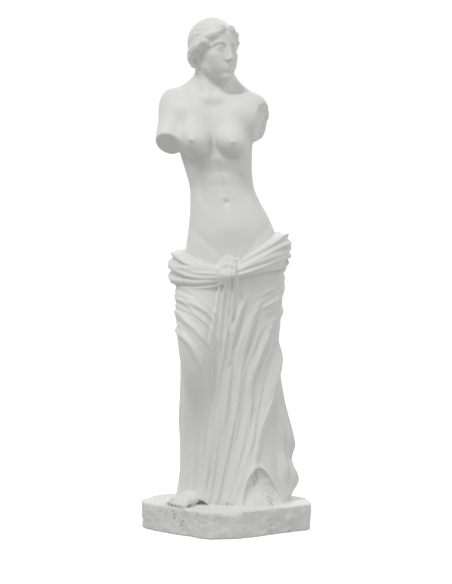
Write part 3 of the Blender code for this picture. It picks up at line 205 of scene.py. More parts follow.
def ridge(x: Array, width: float, power: int = 2) -> Array:
    """A soft ridge of height 1 along x = 0, with steeper sides at a higher power."""
    return np.exp(-((x / width) ** power))


def turned(
    p: Array,
    centre: Sequence[float],
    turn: float,
    nod: float = 0.0,
    lean: float = 0.0,
    size: float = 1.0,
) -> Array:
    """Points as seen from a frame that is turned, nods and leans.

    Args:
        p: the points.
        centre: the frame's own middle.
        turn: its turn about Z in degrees.
        nod: its turn about X in degrees.
        lean: its turn about Y in degrees.
        size: the length of its unit.

    Returns:
        The points in that frame.
    """
    a, b, c = (math.radians(x) for x in (turn, nod, lean))
    about_z = np.array([[math.cos(a), -math.sin(a), 0], [math.sin(a), math.cos(a), 0], [0, 0, 1]])
    about_x = np.array([[1, 0, 0], [0, math.cos(b), -math.sin(b)], [0, math.sin(b), math.cos(b)]])
    about_y = np.array([[math.cos(c), 0, math.sin(c)], [0, 1, 0], [-math.sin(c), 0, math.cos(c)]])
    return (p - np.array(centre)) @ (about_y @ about_z @ about_x) / size


def hashed(ix: Array, iy: Array, iz: Array, seed: int) -> Array:
    """A fixed number from 0 to 1 for each whole-numbered place."""
    n = ix * SCATTER[0] + iy * SCATTER[1] + iz * SCATTER[2] + seed * SCATTER[3]
    n = (n ^ (n >> 13)) * MIXER
    n = n ^ (n >> 16)
    return (n & 0xFFFFFF) / float(0xFFFFFF)


def lumps(p: Array, size: float, seed: int) -> Array:
    """Smooth noise from -1 to 1 whose lumps are about size across."""
    q = p / size
    base = np.floor(q)
    f = q - base
    f = f * f * (3 - 2 * f)
    i = base.astype(np.int64)
    total = np.zeros(len(p))
    for corner in range(8):
        step = np.array([corner & 1, corner >> 1 & 1, corner >> 2 & 1])
        weight = np.prod(np.where(step, f, 1 - f), axis=1)
        total += weight * hashed(i[:, 0] + step[0], i[:, 1] + step[1], i[:, 2] + step[2], seed)
    return 2 * total - 1


def only_between(p: Array, form: Field, low: float, high: float) -> Array:
    """A field worked out only between two heights, and far away elsewhere."""
    d = np.full(len(p), FAR)
    near = (p[:, 2] > low) & (p[:, 2] < high)
    if near.any():
        d[near] = form(p[near])
    return d


def mirrored(p: Array) -> Array:
    """Points folded over to the side where X is positive."""
    return np.stack([np.abs(p[:, 0]), p[:, 1], p[:, 2]], axis=1)


def between(a: Array, b: Array, t: float) -> Array:
    """The value at share t of the way from a to b."""
    return a + (b - a) * t


# The bare figure


@dataclass
class Trunk:
    """The trunk and neck. They are formed upright, then swayed with the hips and shoulders."""

    # Height, shift to the side and forward, sideways tilt and turn in degrees
    spine: Rows = (
        (0.40, 0.014, 0.000, 0.085, 5.0),
        (0.50, 0.014, 0.000, 0.085, 5.0),
        (0.56, 0.012, 0.001, 0.075, 4.0),
        (0.64, -0.004, 0.004, 0.010, 1.0),
        (0.72, -0.018, 0.005, -0.050, -3.0),
        (0.80, -0.022, 0.006, -0.060, -4.0),
        (0.90, -0.022, 0.004, -0.050, -4.0),
    )
    # Height, half width, depth in front and behind
    rows: Rows = (
        (0.420, 0.0880, 0.050, 0.064),
        (0.470, 0.0925, 0.055, 0.074),
        (0.505, 0.0945, 0.058, 0.073),
        (0.545, 0.0910, 0.058, 0.062),
        (0.580, 0.0830, 0.055, 0.050),
        (0.615, 0.0725, 0.051, 0.042),
        (0.645, 0.0665, 0.048, 0.040),
        (0.680, 0.0685, 0.050, 0.044),
        (0.715, 0.0740, 0.053, 0.051),
        (0.750, 0.0780, 0.053, 0.056),
        (0.785, 0.0780, 0.047, 0.055),
        (0.810, 0.0700, 0.038, 0.048),
        (0.835, 0.0420, 0.024, 0.034),
        (0.860, 0.0200, 0.010, 0.015),
    )
    squareness: float = 2.35
    rib_arch: float = 0.702
    belly_lines: tuple[float, float] = (0.648, 0.676)
    navel_height: float = 0.614
    breast: tuple[float, float, float] = (0.0375, -0.049, 0.7365)
    breast_size: tuple[float, float, float] = (0.0320, 0.0345, 0.0315)

    def __post_init__(self) -> None:
        """Prepares the curves."""
        self._spine = Curve(self.spine)
        self._rows = Curve(self.rows)

    def upright(self, p: Array) -> Array:
        """Points as seen from the trunk standing straight."""
        shift_x, shift_y, tilt, turn = self._spine(p[:, 2])
        x, y = p[:, 0] - shift_x, p[:, 1] - shift_y
        turn = np.radians(turn)
        c, s = np.cos(turn), np.sin(turn)
        x, y = c * x + s * y, c * y - s * x
        return np.stack([x, y, p[:, 2] - tilt * x], axis=1)

    def core(self, q: Array) -> Array:
        """The trunk's smooth outer form, before its details."""
        wide, front, back = self._rows(q[:, 2])
        depth = np.where(q[:, 1] < 0, front, back)
        n = self.squareness
        ratio = (np.abs(q[:, 0] / wide) ** n + np.abs(q[:, 1] / depth) ** n) ** (1 / n) + 1e-6
        return np.hypot(q[:, 0], q[:, 1]) * (1 - 1 / ratio)

    def flesh(self, q: Array) -> Array:
        """The trunk with its shoulders, breasts, belly, ribs and back."""
        m = mirrored(q)
        shoulder = limb(m, (0.028, 0.022, 0.842), (0.078, 0.010, 0.823), 0.020, 0.021)
        collar_bone = limb(m, (0.010, -0.031, 0.824), (0.074, -0.012, 0.835), 0.006, 0.007)
        chest = ellipsoid(m, (0.048, -0.018, 0.790), (0.042, 0.034, 0.036))
        d = np.maximum(self.core(q), q[:, 2] - 0.85)
        d = blend_in(blend_in(d, shoulder, 0.030), collar_bone, 0.012)
        d = blend_in(blend_in(d, chest, 0.025), self.breasts(m), 0.009)
        d = self.front_relief(q, m, d)
        return self.back_relief(q, m, d)

    def breasts(self, m: Array) -> Array:
        """Breasts that are fuller below than above."""
        x, y, z = self.breast
        d = ellipsoid(m, self.breast, self.breast_size)
        d = blend_in(d, ellipsoid(m, (x - 0.001, y + 0.011, z + 0.0255), (0.028, 0.024, 0.034)), 0.020)
        root, tip = (x + 0.0035, y - 0.030, z - 0.001), (x + 0.004, y - 0.0355, z - 0.001)
        return blend_in(d, limb(m, root, tip, 0.0050, 0.0026), 0.006)

    def front_relief(self, q: Array, m: Array, d: Array) -> Array:
        """The ribs' arch, the belly with its middle line and sides, the navel and the groin."""
        side, height, front = m[:, 0], q[:, 2], falling(q[:, 1], 0.0, 0.03)
        arch = height - (self.rib_arch - 11.0 * side**2)
        d = d - front * 0.0033 * ridge(arch, 0.010) * ridge(side, 0.055, 4)
        down = rising(height, 0.600, 0.03) * falling(height, 0.712, 0.03)
        d = d + front * down * 0.0030 * ridge(side, 0.0070)
        edge = side - 0.034 - 0.010 * np.sin((height - 0.56) * 20.0)
        d = d + front * down * 0.0026 * ridge(edge, 0.009)
        for line in self.belly_lines:
            d = d + front * 0.0012 * ridge(height - line, 0.0055) * ridge(side, 0.028, 4)
        navel = self.navel_height
        d = d - 0.0060 * bump(q, (0, -0.055, 0.564), (0.040, 0.030, 0.032))
        d = d - 0.0020 * bump(q, (0, -0.050, navel + 0.032), (0.030, 0.030, 0.025))
        d = d + 0.0060 * bump(q, (0, -0.053, navel), (0.0040, 0.02, 0.0060))
        d = d - 0.0014 * bump(q, (0, -0.053, navel + 0.009), (0.010, 0.02, 0.0045))
        groin = (height - 0.500) - 1.05 * (side - 0.018)
        return d + front * 0.0015 * ridge(groin, 0.010) * rising(side, 0.01, 0.02)

    def back_relief(self, q: Array, m: Array, d: Array) -> Array:
        """The furrow of the spine, the shoulder blades, and the dimples and cleft over the seat."""
        side, behind = m[:, 0], rising(q[:, 1], 0.0, 0.02)
        spine = rising(q[:, 2], 0.52, 0.05) * falling(q[:, 2], 0.84, 0.05)
        d = d + behind * spine * 0.0048 * ridge(side, 0.0100)
        d = d - 0.0050 * bump(m, (0.046, 0.052, 0.762), (0.022, 0.03, 0.032))
        d = d + 0.0022 * bump(m, (0.066, 0.050, 0.735), (0.012, 0.03, 0.020))
        d = d - 0.0030 * bump(m, (0.022, 0.045, 0.625), (0.014, 0.03, 0.050))
        d = d + 0.0030 * bump(m, (0.028, 0.062, 0.562), (0.008, 0.02, 0.008))
        return cut_out(d, limb(q, (0, 0.090, 0.545), (0, 0.098, 0.480), 0.020, 0.026), 0.022)

    def neck(self, q: Array) -> Array:
        """The neck with its slopes, and the two cords from behind the ears to the pit of the throat."""
        d = limb(q, (0.000, 0.016, 0.800), (0.002, 0.008, 0.892), 0.034, 0.0272)
        left_slope = limb(q, (0.026, 0.024, 0.880), (0.066, 0.022, 0.835), 0.012, 0.016)
        right_slope = limb(q, (-0.026, 0.026, 0.880), (-0.066, 0.022, 0.835), 0.012, 0.016)
        d = blend_in(blend_in(d, left_slope, 0.030), right_slope, 0.030)
        right_cord = limb(q, (-0.024, 0.006, 0.895), (-0.006, -0.029, 0.826), 0.0085, 0.0065)
        left_cord = limb(q, (0.030, 0.012, 0.890), (0.010, -0.028, 0.826), 0.0075, 0.0060)
        return blend_in(blend_in(d, right_cord, 0.010), left_cord, 0.012)


@dataclass
class Arms:
    """The right arm, cut clean above the elbow, and the left one, broken off at the shoulder."""

    shoulder: tuple[float, float, float] = (0.083, 0.002, 0.803)
    shoulder_size: tuple[float, float, float] = (0.0255, 0.0300, 0.0400)
    right_top: tuple[float, float, float] = (-0.080, 0.004, 0.812)
    right_cut: tuple[float, float, float] = (-0.0915, -0.050, 0.728)
    right_facing: tuple[float, float, float] = (-0.10, -0.70, -0.70)
    left_top: tuple[float, float, float] = (0.080, 0.004, 0.812)
    left_end: tuple[float, float, float] = (0.105, -0.006, 0.770)
    left_break: tuple[float, float, float] = (0.0965, -0.012, 0.796)
    left_facing: tuple[float, float, float] = (0.86, -0.42, -0.30)

    def right(self, q: Array) -> Array:
        """The right arm, which reaches a little forward to its flat cut."""
        start, end = np.array(self.right_top), np.array(self.right_cut)
        x, y, z = self.shoulder
        d = limb(q, start, end + (end - start) * 0.3, 0.0290, 0.0258)
        d = blend_in(d, ellipsoid(q, (-x, y, z), self.shoulder_size), 0.020)
        facing = np.array(self.right_facing)
        cut = (q - end) @ (facing / np.linalg.norm(facing)) + 0.0004 * lumps(q, 0.006, 31)
        return keep_within(d, cut, 0.0025)

    def left(self, q: Array) -> Array:
        """The left arm's stump, with a rough pitted break."""
        d = limb(q, self.left_top, self.left_end, 0.0285, 0.0280)
        d = blend_in(d, ellipsoid(q, self.shoulder, self.shoulder_size), 0.020)
        return keep_within(d, self.broken_face(q), 0.0016)

    def broken_face(self, q: Array) -> Array:
        """The rough plane where the left arm broke off."""
        facing = np.array(self.left_facing)
        plane = (q - np.array(self.left_break)) @ (facing / np.linalg.norm(facing))
        rough = 0.0028 * lumps(q, 0.012, 3) + 0.0016 * lumps(q, 0.0055, 4)
        rough = rough + 0.0008 * lumps(q, 0.0028, 5)
        return plane + rough + 0.0022 * np.clip(lumps(q, 0.0042, 6) - 0.35, 0, 1)

    def field(self, q: Array) -> Array:
        """Both arms."""
        return np.minimum(self.right(q), self.left(q))


@dataclass
class Head:
    """The head in shares of its own height: +Z up, the face towards -Y and the eyes at height 0."""

    centre: tuple[float, float, float] = (-0.021, -0.004, 0.927)
    size: float = 0.129
    turn: float = 36.0
    nod: float = 3.0
    lean: float = -4.0
    hair_front: tuple[float, float, float] = (0.0, -0.38, 0.24)
    hair_back: tuple[float, float, float] = (0.0, 0.46, -0.08)
    knot: tuple[float, float, float] = (0.0, 0.475, -0.075)
    knot_size: tuple[float, float, float] = (0.150, 0.130, 0.135)
    lock_roundness: float = 0.8

    def skull(self, m: Array) -> Array:
        """The skull, cheeks, jaw and chin."""
        d = ellipsoid(m, (0, 0.03, 0.13), (0.312, 0.395, 0.365))
        face = ellipsoid(m, (0, -0.115, -0.10), (0.245, 0.255, 0.385))
        forehead = ellipsoid(m, (0, -0.150, 0.17), (0.252, 0.232, 0.22))
        jaw = limb(m, (0.185, 0.00, -0.24), (0.055, -0.265, -0.420), 0.074, 0.064)
        chin = ellipsoid(m, (0, -0.318, -0.430), (0.074, 0.064, 0.062))
        cheek = ellipsoid(m, (0.160, -0.240, -0.105), (0.094, 0.094, 0.090))
        below_cheek = ellipsoid(m, (0.110, -0.255, -0.240), (0.100, 0.092, 0.115))
        d = blend_in(blend_in(d, face, 0.09), forehead, 0.08)
        d = blend_in(blend_in(d, jaw, 0.08), chin, 0.07)
        return blend_in(blend_in(d, cheek, 0.09), below_cheek, 0.09)

    def eyes(self, m: Array, d: Array) -> Array:
        """Brows, sockets, eyeballs and lids added to the skull."""
        brow = (
            (0.026, -0.362, 0.066, 0.024),
            (0.105, -0.358, 0.100, 0.020),
            (0.180, -0.315, 0.092, 0.022),
            (0.240, -0.240, 0.048, 0.026),
        )
        upper = (
            (0.057, -0.336, -0.010, 0.009),
            (0.086, -0.362, 0.020, 0.011),
            (0.124, -0.369, 0.030, 0.011),
            (0.162, -0.351, 0.021, 0.011),
            (0.196, -0.308, -0.006, 0.009),
        )
        lower = (
            (0.057, -0.336, -0.012, 0.007),
            (0.092, -0.357, -0.028, 0.008),
            (0.126, -0.361, -0.034, 0.008),
            (0.162, -0.344, -0.025, 0.008),
            (0.196, -0.308, -0.008, 0.007),
        )
        socket = ellipsoid(m, (0.122, -0.402, 0.010), (0.086, 0.066, 0.046))
        inner_corner = ellipsoid(m, (0.062, -0.390, 0.004), (0.024, 0.045, 0.032))
        ball = ellipsoid(m, (0.121, -0.290, 0.000), (0.074, 0.074, 0.072))
        d = blend_in(d, limbs(m, brow, 0.02), 0.040)
        d = cut_out(cut_out(d, socket, 0.045), inner_corner, 0.035)
        d = blend_in(blend_in(d, ball, 0.012), limbs(m, upper, 0.006), 0.009)
        return blend_in(d, limbs(m, lower, 0.006), 0.014)

    def nose(self, m: Array, d: Array) -> Array:
        """A straight nose with soft sides, added to the face."""
        root = limb(m, (0, -0.330, 0.060), (0, -0.362, -0.150), 0.046, 0.060)
        bridge = limb(m, (0, -0.366, 0.080), (0, -0.440, -0.150), 0.031, 0.035)
        tip = ellipsoid(m, (0, -0.446, -0.166), (0.040, 0.034, 0.032))
        wing = ellipsoid(m, (0.043, -0.398, -0.178), (0.027, 0.036, 0.025))
        nostril = ellipsoid(m, (0.022, -0.420, -0.208), (0.013, 0.020, 0.014))
        crease = limb(m, (0.080, -0.385, -0.165), (0.074, -0.362, -0.205), 0.008, 0.005)
        d = blend_in(blend_in(d, root, 0.050), bridge, 0.034)
        d = blend_in(blend_in(d, tip, 0.026), wing, 0.020)
        return cut_out(cut_out(d, nostril, 0.010), crease, 0.022)

    def mouth(self, m: Array, d: Array) -> Array:
        """Calm closed lips, added to the face."""
        upper = (
            (0.098, -0.338, -0.308, 0.007),
            (0.060, -0.368, -0.297, 0.014),
            (0.020, -0.387, -0.288, 0.017),
            (0.000, -0.386, -0.292, 0.017),
        )
        lower = (
            (0.092, -0.338, -0.318, 0.007),
            (0.048, -0.366, -0.331, 0.017),
            (0.000, -0.378, -0.336, 0.022),
        )
        line = (
            (0.100, -0.356, -0.312, 0.003),
            (0.050, -0.392, -0.311, 0.005),
            (0.000, -0.409, -0.315, 0.005),
        )
        mound = ellipsoid(m, (0, -0.300, -0.300), (0.138, 0.088, 0.094))
        furrow = limb(m, (0, -0.412, -0.225), (0, -0.414, -0.258), 0.010, 0.012)
        hollow = limb(m, (0.0, -0.396, -0.380), (0.05, -0.370, -0.374), 0.014, 0.010)
        d = cut_out(blend_in(d, mound, 0.06), furrow, 0.018)
        d = blend_in(d, limbs(m, upper, 0.008), 0.014)
        d = blend_in(d, limbs(m, lower, 0.008), 0.014)
        return cut_out(cut_out(d, limbs(m, line, 0.004), 0.009), hollow, 0.040)

    def ears(self, m: Array) -> Array:
        """Ears whose tops the hair covers."""
        d = ellipsoid(m, (0.300, 0.035, -0.045), (0.022, 0.052, 0.080))
        shell = ellipsoid(m, (0.325, 0.025, -0.035), (0.016, 0.028, 0.040))
        lobe = ellipsoid(m, (0.292, 0.015, -0.115), (0.020, 0.026, 0.030))
        return blend_in(cut_out(d, shell, 0.012), lobe, 0.02)

    def strands(self, m: Array, locks: float, wave: float, wobble: float) -> Array:
        """Ridges from 0 to 1 that run in waves from the parting over the ears to the knot.

        Args:
            m: points in the head's frame, folded to one side.
            locks: how many there are in half a turn round the head.
            wave: how quickly they wave on their way back.
            wobble: how far they wave, in radians.

        Returns:
            The ridges' height at each point.
        """
        front, back = np.array(self.hair_front), np.array(self.hair_back)
        along = (back - front) / np.linalg.norm(back - front)
        up = np.array([0.0, -along[2], along[1]])
        s, rise = (m - front) @ along, (m - front) @ up
        swing = np.arctan2(m[:, 0], rise)
        sway = np.sin(wave * s + 1.5 * swing) + 0.4 * np.sin(2.3 * wave * s + 7 * swing)
        near = np.clip(np.hypot(m[:, 0], rise) / 0.12, 0, 1)
        return near * np.abs(np.sin(locks * (swing + wobble * sway))) ** self.lock_roundness

    def cap(self, m: Array) -> Array:
        """The hair drawn back over the skull, parted in the middle."""
        d = ellipsoid(m, (0, 0.055, 0.150), (0.345, 0.425, 0.370))
        d = cut_out(d, ellipsoid(m, (0, -0.42, -0.13), (0.300, 0.400, 0.450)), 0.02)
        d = np.maximum(d, -0.30 - m[:, 2] - 0.25 * m[:, 1])
        d = d - 0.016 * self.strands(m, 12.0, 15.0, 0.045)
        return d - 0.006 * self.strands(m, 37.0, 18.0, 0.03)

    def front_roll(self, m: Array) -> Array:
        """The thick waved roll round the brow and over the ears."""
        rows = (
            (0.000, -0.318, 0.318, 0.046),
            (0.085, -0.318, 0.300, 0.060),
            (0.185, -0.262, 0.228, 0.072),
            (0.268, -0.160, 0.138, 0.078),
            (0.312, -0.035, 0.062, 0.078),
            (0.318, 0.090, 0.006, 0.074),
            (0.274, 0.220, -0.050, 0.074),
            (0.160, 0.350, -0.090, 0.076),
        )
        parting = np.clip(m[:, 0] / 0.05, 0, 1)
        wind = 24.0 * m[:, 1] - 10.0 * m[:, 0] + 20.0 * (m[:, 2] - 0.2) + 2.0 * np.sin(14.0 * m[:, 1])
        locks = 0.022 * np.abs(np.sin(wind)) ** self.lock_roundness
        locks = locks + 0.007 * np.abs(np.sin(3.0 * wind + 9.0 * m[:, 0]))
        locks = locks + 0.007 * self.strands(m, 24.0, 21.0, 0.06)
        return limbs(m, rows, 0.02) + 0.010 - parting * locks

    def knot_behind(self, m: Array) -> Array:
        """The wound knot on the nape and the short hair below it."""
        above = m[:, 2] - self.knot[2]
        around, out = np.arctan2(m[:, 0], above), np.hypot(m[:, 0], above)
        locks = np.abs(np.sin(22.0 * out + 3.0 * around))
        strands = np.abs(np.sin(66.0 * out + 9.0 * around))
        d = ellipsoid(m, self.knot, self.knot_size) - 0.016 * locks - 0.004 * strands
        loose = (
            (0.100, 0.330, -0.140, 0.085),
            (0.060, 0.320, -0.240, 0.065),
            (0.030, 0.300, -0.330, 0.035),
        )
        nape = limbs(m, loose, 0.03) - 0.010 * np.abs(np.sin(30 * m[:, 0] + 4 * m[:, 2]))
        return blend_in(d, nape, 0.03)

    def hair(self, m: Array) -> Array:
        """All the hair with the narrow band that holds it."""
        parting = limb(m, (0, -0.40, 0.300), (0, -0.02, 0.545), 0.008, 0.006)
        d = cut_out(blend_in(self.cap(m), self.front_roll(m), 0.014), parting, 0.020)
        away = (m - np.array([0.0, -0.02, 0.47])) @ np.array([0.0, 0.86, 0.51])
        band = ellipsoid(m, (0, 0.055, 0.150), (0.364, 0.444, 0.389))
        d = blend_in(d, keep_within(band, np.abs(away) - 0.019, 0.006), 0.006)
        return blend_in(d, self.knot_behind(m), 0.015)

    def field(self, p: Array) -> Array:
        """The head in its place, in shares of the figure's height."""
        m = mirrored(turned(p, self.centre, self.turn, self.nod, self.lean, self.size))
        d = self.mouth(m, self.nose(m, self.eyes(m, self.skull(m))))
        d = blend_in(d, self.ears(m), 0.02)
        return blend_in(d, self.hair(m), 0.006) * self.size


@dataclass
class Foot:
    """Her bare right foot, which shows under the hem and points forward from its ankle."""

    ankle: tuple[float, float] = (0.052, -0.010)
    turn: float = 30.0
    toes: int = 5
    toe_gap: float = 0.0104
    toe_tip_height: float = 0.0080
    # How much further out a toe's tip lies than its middle line
    toe_splay: float = 1.06

    def field(self, p: Array) -> Array:
        """The foot with its toes, formed on the side of positive X and swapped to her right."""
        q = turned(p * np.array([-1, 1, 1]), (*self.ankle, 0.0), self.turn)
        d = limb(q, (0, 0.020, 0.024), (-0.002, -0.046, 0.0145), 0.021, 0.0125)
        inner = limb(q, (-0.012, -0.026, 0.016), (-0.015, -0.062, 0.0105), 0.0125, 0.0100)
        outer = limb(q, (0.012, -0.022, 0.014), (0.017, -0.054, 0.0090), 0.0120, 0.0088)
        d = blend_in(blend_in(d, inner, 0.010), outer, 0.010)
        for i in range(self.toes):
            d = self.with_toe(q, d, i)
        return np.maximum(d, -q[:, 2] - 0.01)

    def with_toe(self, q: Array, d: Array, i: int) -> Array:
        """The foot with one more toe and its nail, counted from the big one."""
        big = i == 0
        across = -0.0195 + self.toe_gap * i + (0.0 if big else 0.0014)
        long = 0.099 - 0.0050 * i - (0.004 if big else 0.0)
        thick = 0.0082 if big else 0.0060 - 0.0004 * i
        tip = across * self.toe_splay
        toe = (
            (across * 0.84, -0.052, 0.0110, thick * 0.95),
            (across * 0.97, -long + 0.016, 0.0135, thick * 0.86),
            (tip, -long, self.toe_tip_height, thick),
        )
        d = blend_in(d, limbs(q, toe, 0.004), 0.0014)
        nail = (tip, -long - thick * 0.50, self.toe_tip_height + thick * 0.74)
        return cut_out(d, ellipsoid(q, nail, (thick * 0.58, thick * 0.50, thick * 0.30)), 0.0006)


# The mantle


@dataclass(frozen=True)
class FoldFamily:
    """Folds spread from a first line to a last one.

    Each line is rows of (angle in degrees, height, fullness). Angle 0 is in front and runs to her left.
    """

    count: int
    first: Rows
    last: Rows
    width: float
    depth: float
    seed: float
    sway: float = 2.0
    kind: FoldKind = FoldKind.RIDGE


MAIN_FOLDS = (
    # long folds that sweep from the high hip across the front to the hem beside the foot
    FoldFamily(
        8,
        (
            (26, 0.470, 0.1), (10, 0.400, 0.7), (-8, 0.310, 0.9),
            (-18, 0.200, 1.0), (-28, 0.090, 1.0), (-40, 0.002, 0.9),
        ),
        (
            (92, 0.350, 0.0), (86, 0.300, 0.8), (72, 0.230, 1.0),
            (52, 0.150, 1.0), (30, 0.080, 0.9), (12, 0.002, 0.9),
        ),
        width=0.0170, depth=0.0125, seed=2.0,
    ),
    # shorter folds between them that join on their way down
    FoldFamily(
        6,
        ((6, 0.330, 0.0), (-6, 0.240, 0.8), (-18, 0.120, 0.9), (-30, 0.002, 0.9)),
        ((80, 0.270, 0.0), (62, 0.190, 0.8), (38, 0.100, 0.9), (12, 0.002, 0.8)),
        width=0.0120, depth=0.0085, seed=3.0, sway=3.0,
    ),
    # falls outside the leg that carries the weight
    FoldFamily(
        5,
        ((112, 0.350, 0.0), (106, 0.240, 0.8), (102, 0.110, 1.0), (98, 0.002, 1.1)),
        ((148, 0.430, 0.0), (148, 0.320, 0.8), (144, 0.160, 1.0), (140, 0.002, 1.2)),
        width=0.0170, depth=0.0130, seed=1.0, sway=2.5,
    ),
    # slack folds that hang from the high hip and die out on the thigh
    FoldFamily(
        6,
        ((126, 0.502, 0.0), (98, 0.488, 0.9), (66, 0.462, 0.8), (32, 0.440, 0.0)),
        ((130, 0.430, 0.0), (108, 0.392, 0.8), (84, 0.352, 0.7), (62, 0.316, 0.0)),
        width=0.0130, depth=0.0075, seed=9.0, sway=3.0,
    ),
    # folds that arch over the free thigh and run down inside the knee
    FoldFamily(
        6,
        (
            (-128, 0.430, 0.0), (-96, 0.444, 0.7), (-56, 0.440, 0.7),
            (-26, 0.412, 0.9), (-6, 0.350, 0.9), (2, 0.270, 0.0),
        ),
        (
            (-112, 0.296, 0.0), (-94, 0.338, 0.8), (-68, 0.356, 0.8),
            (-44, 0.340, 0.9), (-29, 0.295, 0.8), (-24, 0.225, 0.0),
        ),
        width=0.0140, depth=0.0072, seed=4.0, sway=2.0,
    ),
    # soft falls from the free knee over the shin, and deeper ones outside it
    FoldFamily(
        4,
        ((-76, 0.280, 0.0), (-80, 0.190, 0.6), (-77, 0.090, 0.8), (-72, 0.002, 0.9)),
        ((-33, 0.250, 0.0), (-36, 0.165, 0.6), (-41, 0.080, 0.8), (-47, 0.002, 0.9)),
        width=0.0130, depth=0.0105, seed=5.0, sway=1.5,
    ),
    FoldFamily(
        5,
        ((-88, 0.350, 0.0), (-94, 0.250, 0.8), (-96, 0.120, 1.0), (-88, 0.002, 1.1)),
        ((-124, 0.440, 0.0), (-134, 0.280, 0.8), (-136, 0.120, 1.0), (-130, 0.002, 1.2)),
        width=0.0160, depth=0.0125, seed=6.0,
    ),
    # falls behind, which slant from the high hip to the free foot
    FoldFamily(
        7,
        ((152, 0.400, 0.0), (158, 0.300, 0.6), (164, 0.180, 0.9), (158, 0.080, 1.0), (156, 0.002, 1.2)),
        ((214, 0.370, 0.0), (222, 0.290, 0.6), (226, 0.160, 0.9), (218, 0.080, 1.0), (220, 0.002, 1.2)),
        width=0.0180, depth=0.0135, seed=7.0, sway=3.0,
    ),
    # slack folds that hang under the seat
    FoldFamily(
        4,
        ((108, 0.500, 0.0), (150, 0.462, 0.8), (196, 0.452, 0.8), (250, 0.486, 0.0)),
        ((110, 0.440, 0.0), (154, 0.372, 0.7), (200, 0.352, 0.7), (252, 0.420, 0.0)),
        width=0.0140, depth=0.0065, seed=8.0,
    ),
)

FINE_FOLDS = (
    # thin pulls that fan out from the tuck
    FoldFamily(
        8,
        ((-7, 0.470, 0.3), (-13, 0.446, 0.8), (-19, 0.408, 0.7), (-23, 0.366, 0.0)),
        ((9, 0.470, 0.3), (17, 0.452, 0.8), (30, 0.424, 0.7), (40, 0.390, 0.0)),
        width=0.0062, depth=0.0017, seed=21.0, sway=3.0, kind=FoldKind.CREASE,
    ),
    # narrow ridges beside the long sweeping folds
    FoldFamily(
        12,
        ((24, 0.455, 0.0), (6, 0.380, 0.8), (-10, 0.290, 1.0), (-20, 0.180, 1.0), (-34, 0.010, 0.6)),
        ((94, 0.340, 0.0), (86, 0.290, 0.9), (70, 0.215, 1.0), (48, 0.140, 1.0), (12, 0.010, 0.6)),
        width=0.0062, depth=0.0026, seed=11.0, sway=3.5, kind=FoldKind.CREASE,
    ),
    # thin grooves that split their crests
    FoldFamily(
        9,
        ((18, 0.420, 0.0), (2, 0.340, 0.9), (-12, 0.240, 0.9), (-24, 0.120, 0.6), (-30, 0.040, 0.0)),
        ((88, 0.310, 0.0), (80, 0.265, 1.0), (62, 0.195, 1.0), (38, 0.110, 0.8), (22, 0.040, 0.0)),
        width=0.0030, depth=0.0015, seed=12.0, sway=4.0, kind=FoldKind.GROOVE,
    ),
    # fine pulls over the free thigh
    FoldFamily(
        9,
        (
            (-126, 0.420, 0.0), (-92, 0.436, 0.9), (-54, 0.430, 0.9),
            (-24, 0.400, 0.9), (-6, 0.340, 0.6), (0, 0.280, 0.0),
        ),
        (
            (-110, 0.304, 0.0), (-92, 0.344, 0.9), (-68, 0.362, 0.9),
            (-46, 0.346, 0.9), (-32, 0.300, 0.6), (-27, 0.240, 0.0),
        ),
        width=0.0054, depth=0.0021, seed=13.0, sway=2.5, kind=FoldKind.CREASE,
    ),
    # fine slack folds under the high hip
    FoldFamily(
        8,
        ((124, 0.482, 0.0), (96, 0.464, 0.9), (64, 0.438, 0.9), (38, 0.414, 0.0)),
        ((128, 0.420, 0.0), (106, 0.382, 0.9), (82, 0.342, 0.8), (62, 0.308, 0.0)),
        width=0.0050, depth=0.0022, seed=19.0, sway=3.0, kind=FoldKind.CREASE,
    ),
    # soft creases on the shin
    FoldFamily(
        4,
        ((-76, 0.250, 0.0), (-80, 0.170, 0.6), (-76, 0.080, 0.8), (-70, 0.006, 0.8)),
        ((-34, 0.220, 0.0), (-36, 0.150, 0.6), (-40, 0.070, 0.8), (-44, 0.006, 0.8)),
        width=0.0062, depth=0.0027, seed=14.0, sway=2.5, kind=FoldKind.CREASE,
    ),
    # narrow ridges down both sides and behind
    FoldFamily(
        8,
        ((110, 0.340, 0.0), (102, 0.230, 0.9), (98, 0.100, 1.0), (94, 0.008, 0.7)),
        ((152, 0.420, 0.0), (154, 0.310, 0.9), (150, 0.160, 1.0), (146, 0.008, 0.7)),
        width=0.0062, depth=0.0026, seed=15.0, sway=3.5, kind=FoldKind.CREASE,
    ),
    FoldFamily(
        8,
        ((-86, 0.330, 0.0), (-94, 0.240, 0.9), (-96, 0.120, 1.0), (-88, 0.008, 0.7)),
        ((-124, 0.430, 0.0), (-138, 0.270, 0.9), (-140, 0.120, 1.0), (-134, 0.008, 0.7)),
        width=0.0062, depth=0.0026, seed=16.0, sway=3.0, kind=FoldKind.CREASE,
    ),
    FoldFamily(
        10,
        ((150, 0.390, 0.0), (156, 0.280, 0.9), (162, 0.170, 1.0), (152, 0.008, 0.7)),
        ((222, 0.370, 0.0), (228, 0.280, 0.9), (230, 0.160, 1.0), (224, 0.008, 0.7)),
        width=0.0064, depth=0.0028, seed=17.0, sway=4.0, kind=FoldKind.CREASE,
    ),
    FoldFamily(
        7,
        ((112, 0.490, 0.0), (150, 0.476, 0.9), (190, 0.468, 0.9), (244, 0.482, 0.0)),
        ((114, 0.420, 0.0), (156, 0.352, 0.9), (204, 0.332, 0.9), (250, 0.400, 0.0)),
        width=0.0052, depth=0.0022, seed=18.0, sway=4.0, kind=FoldKind.CREASE,
    ),
)


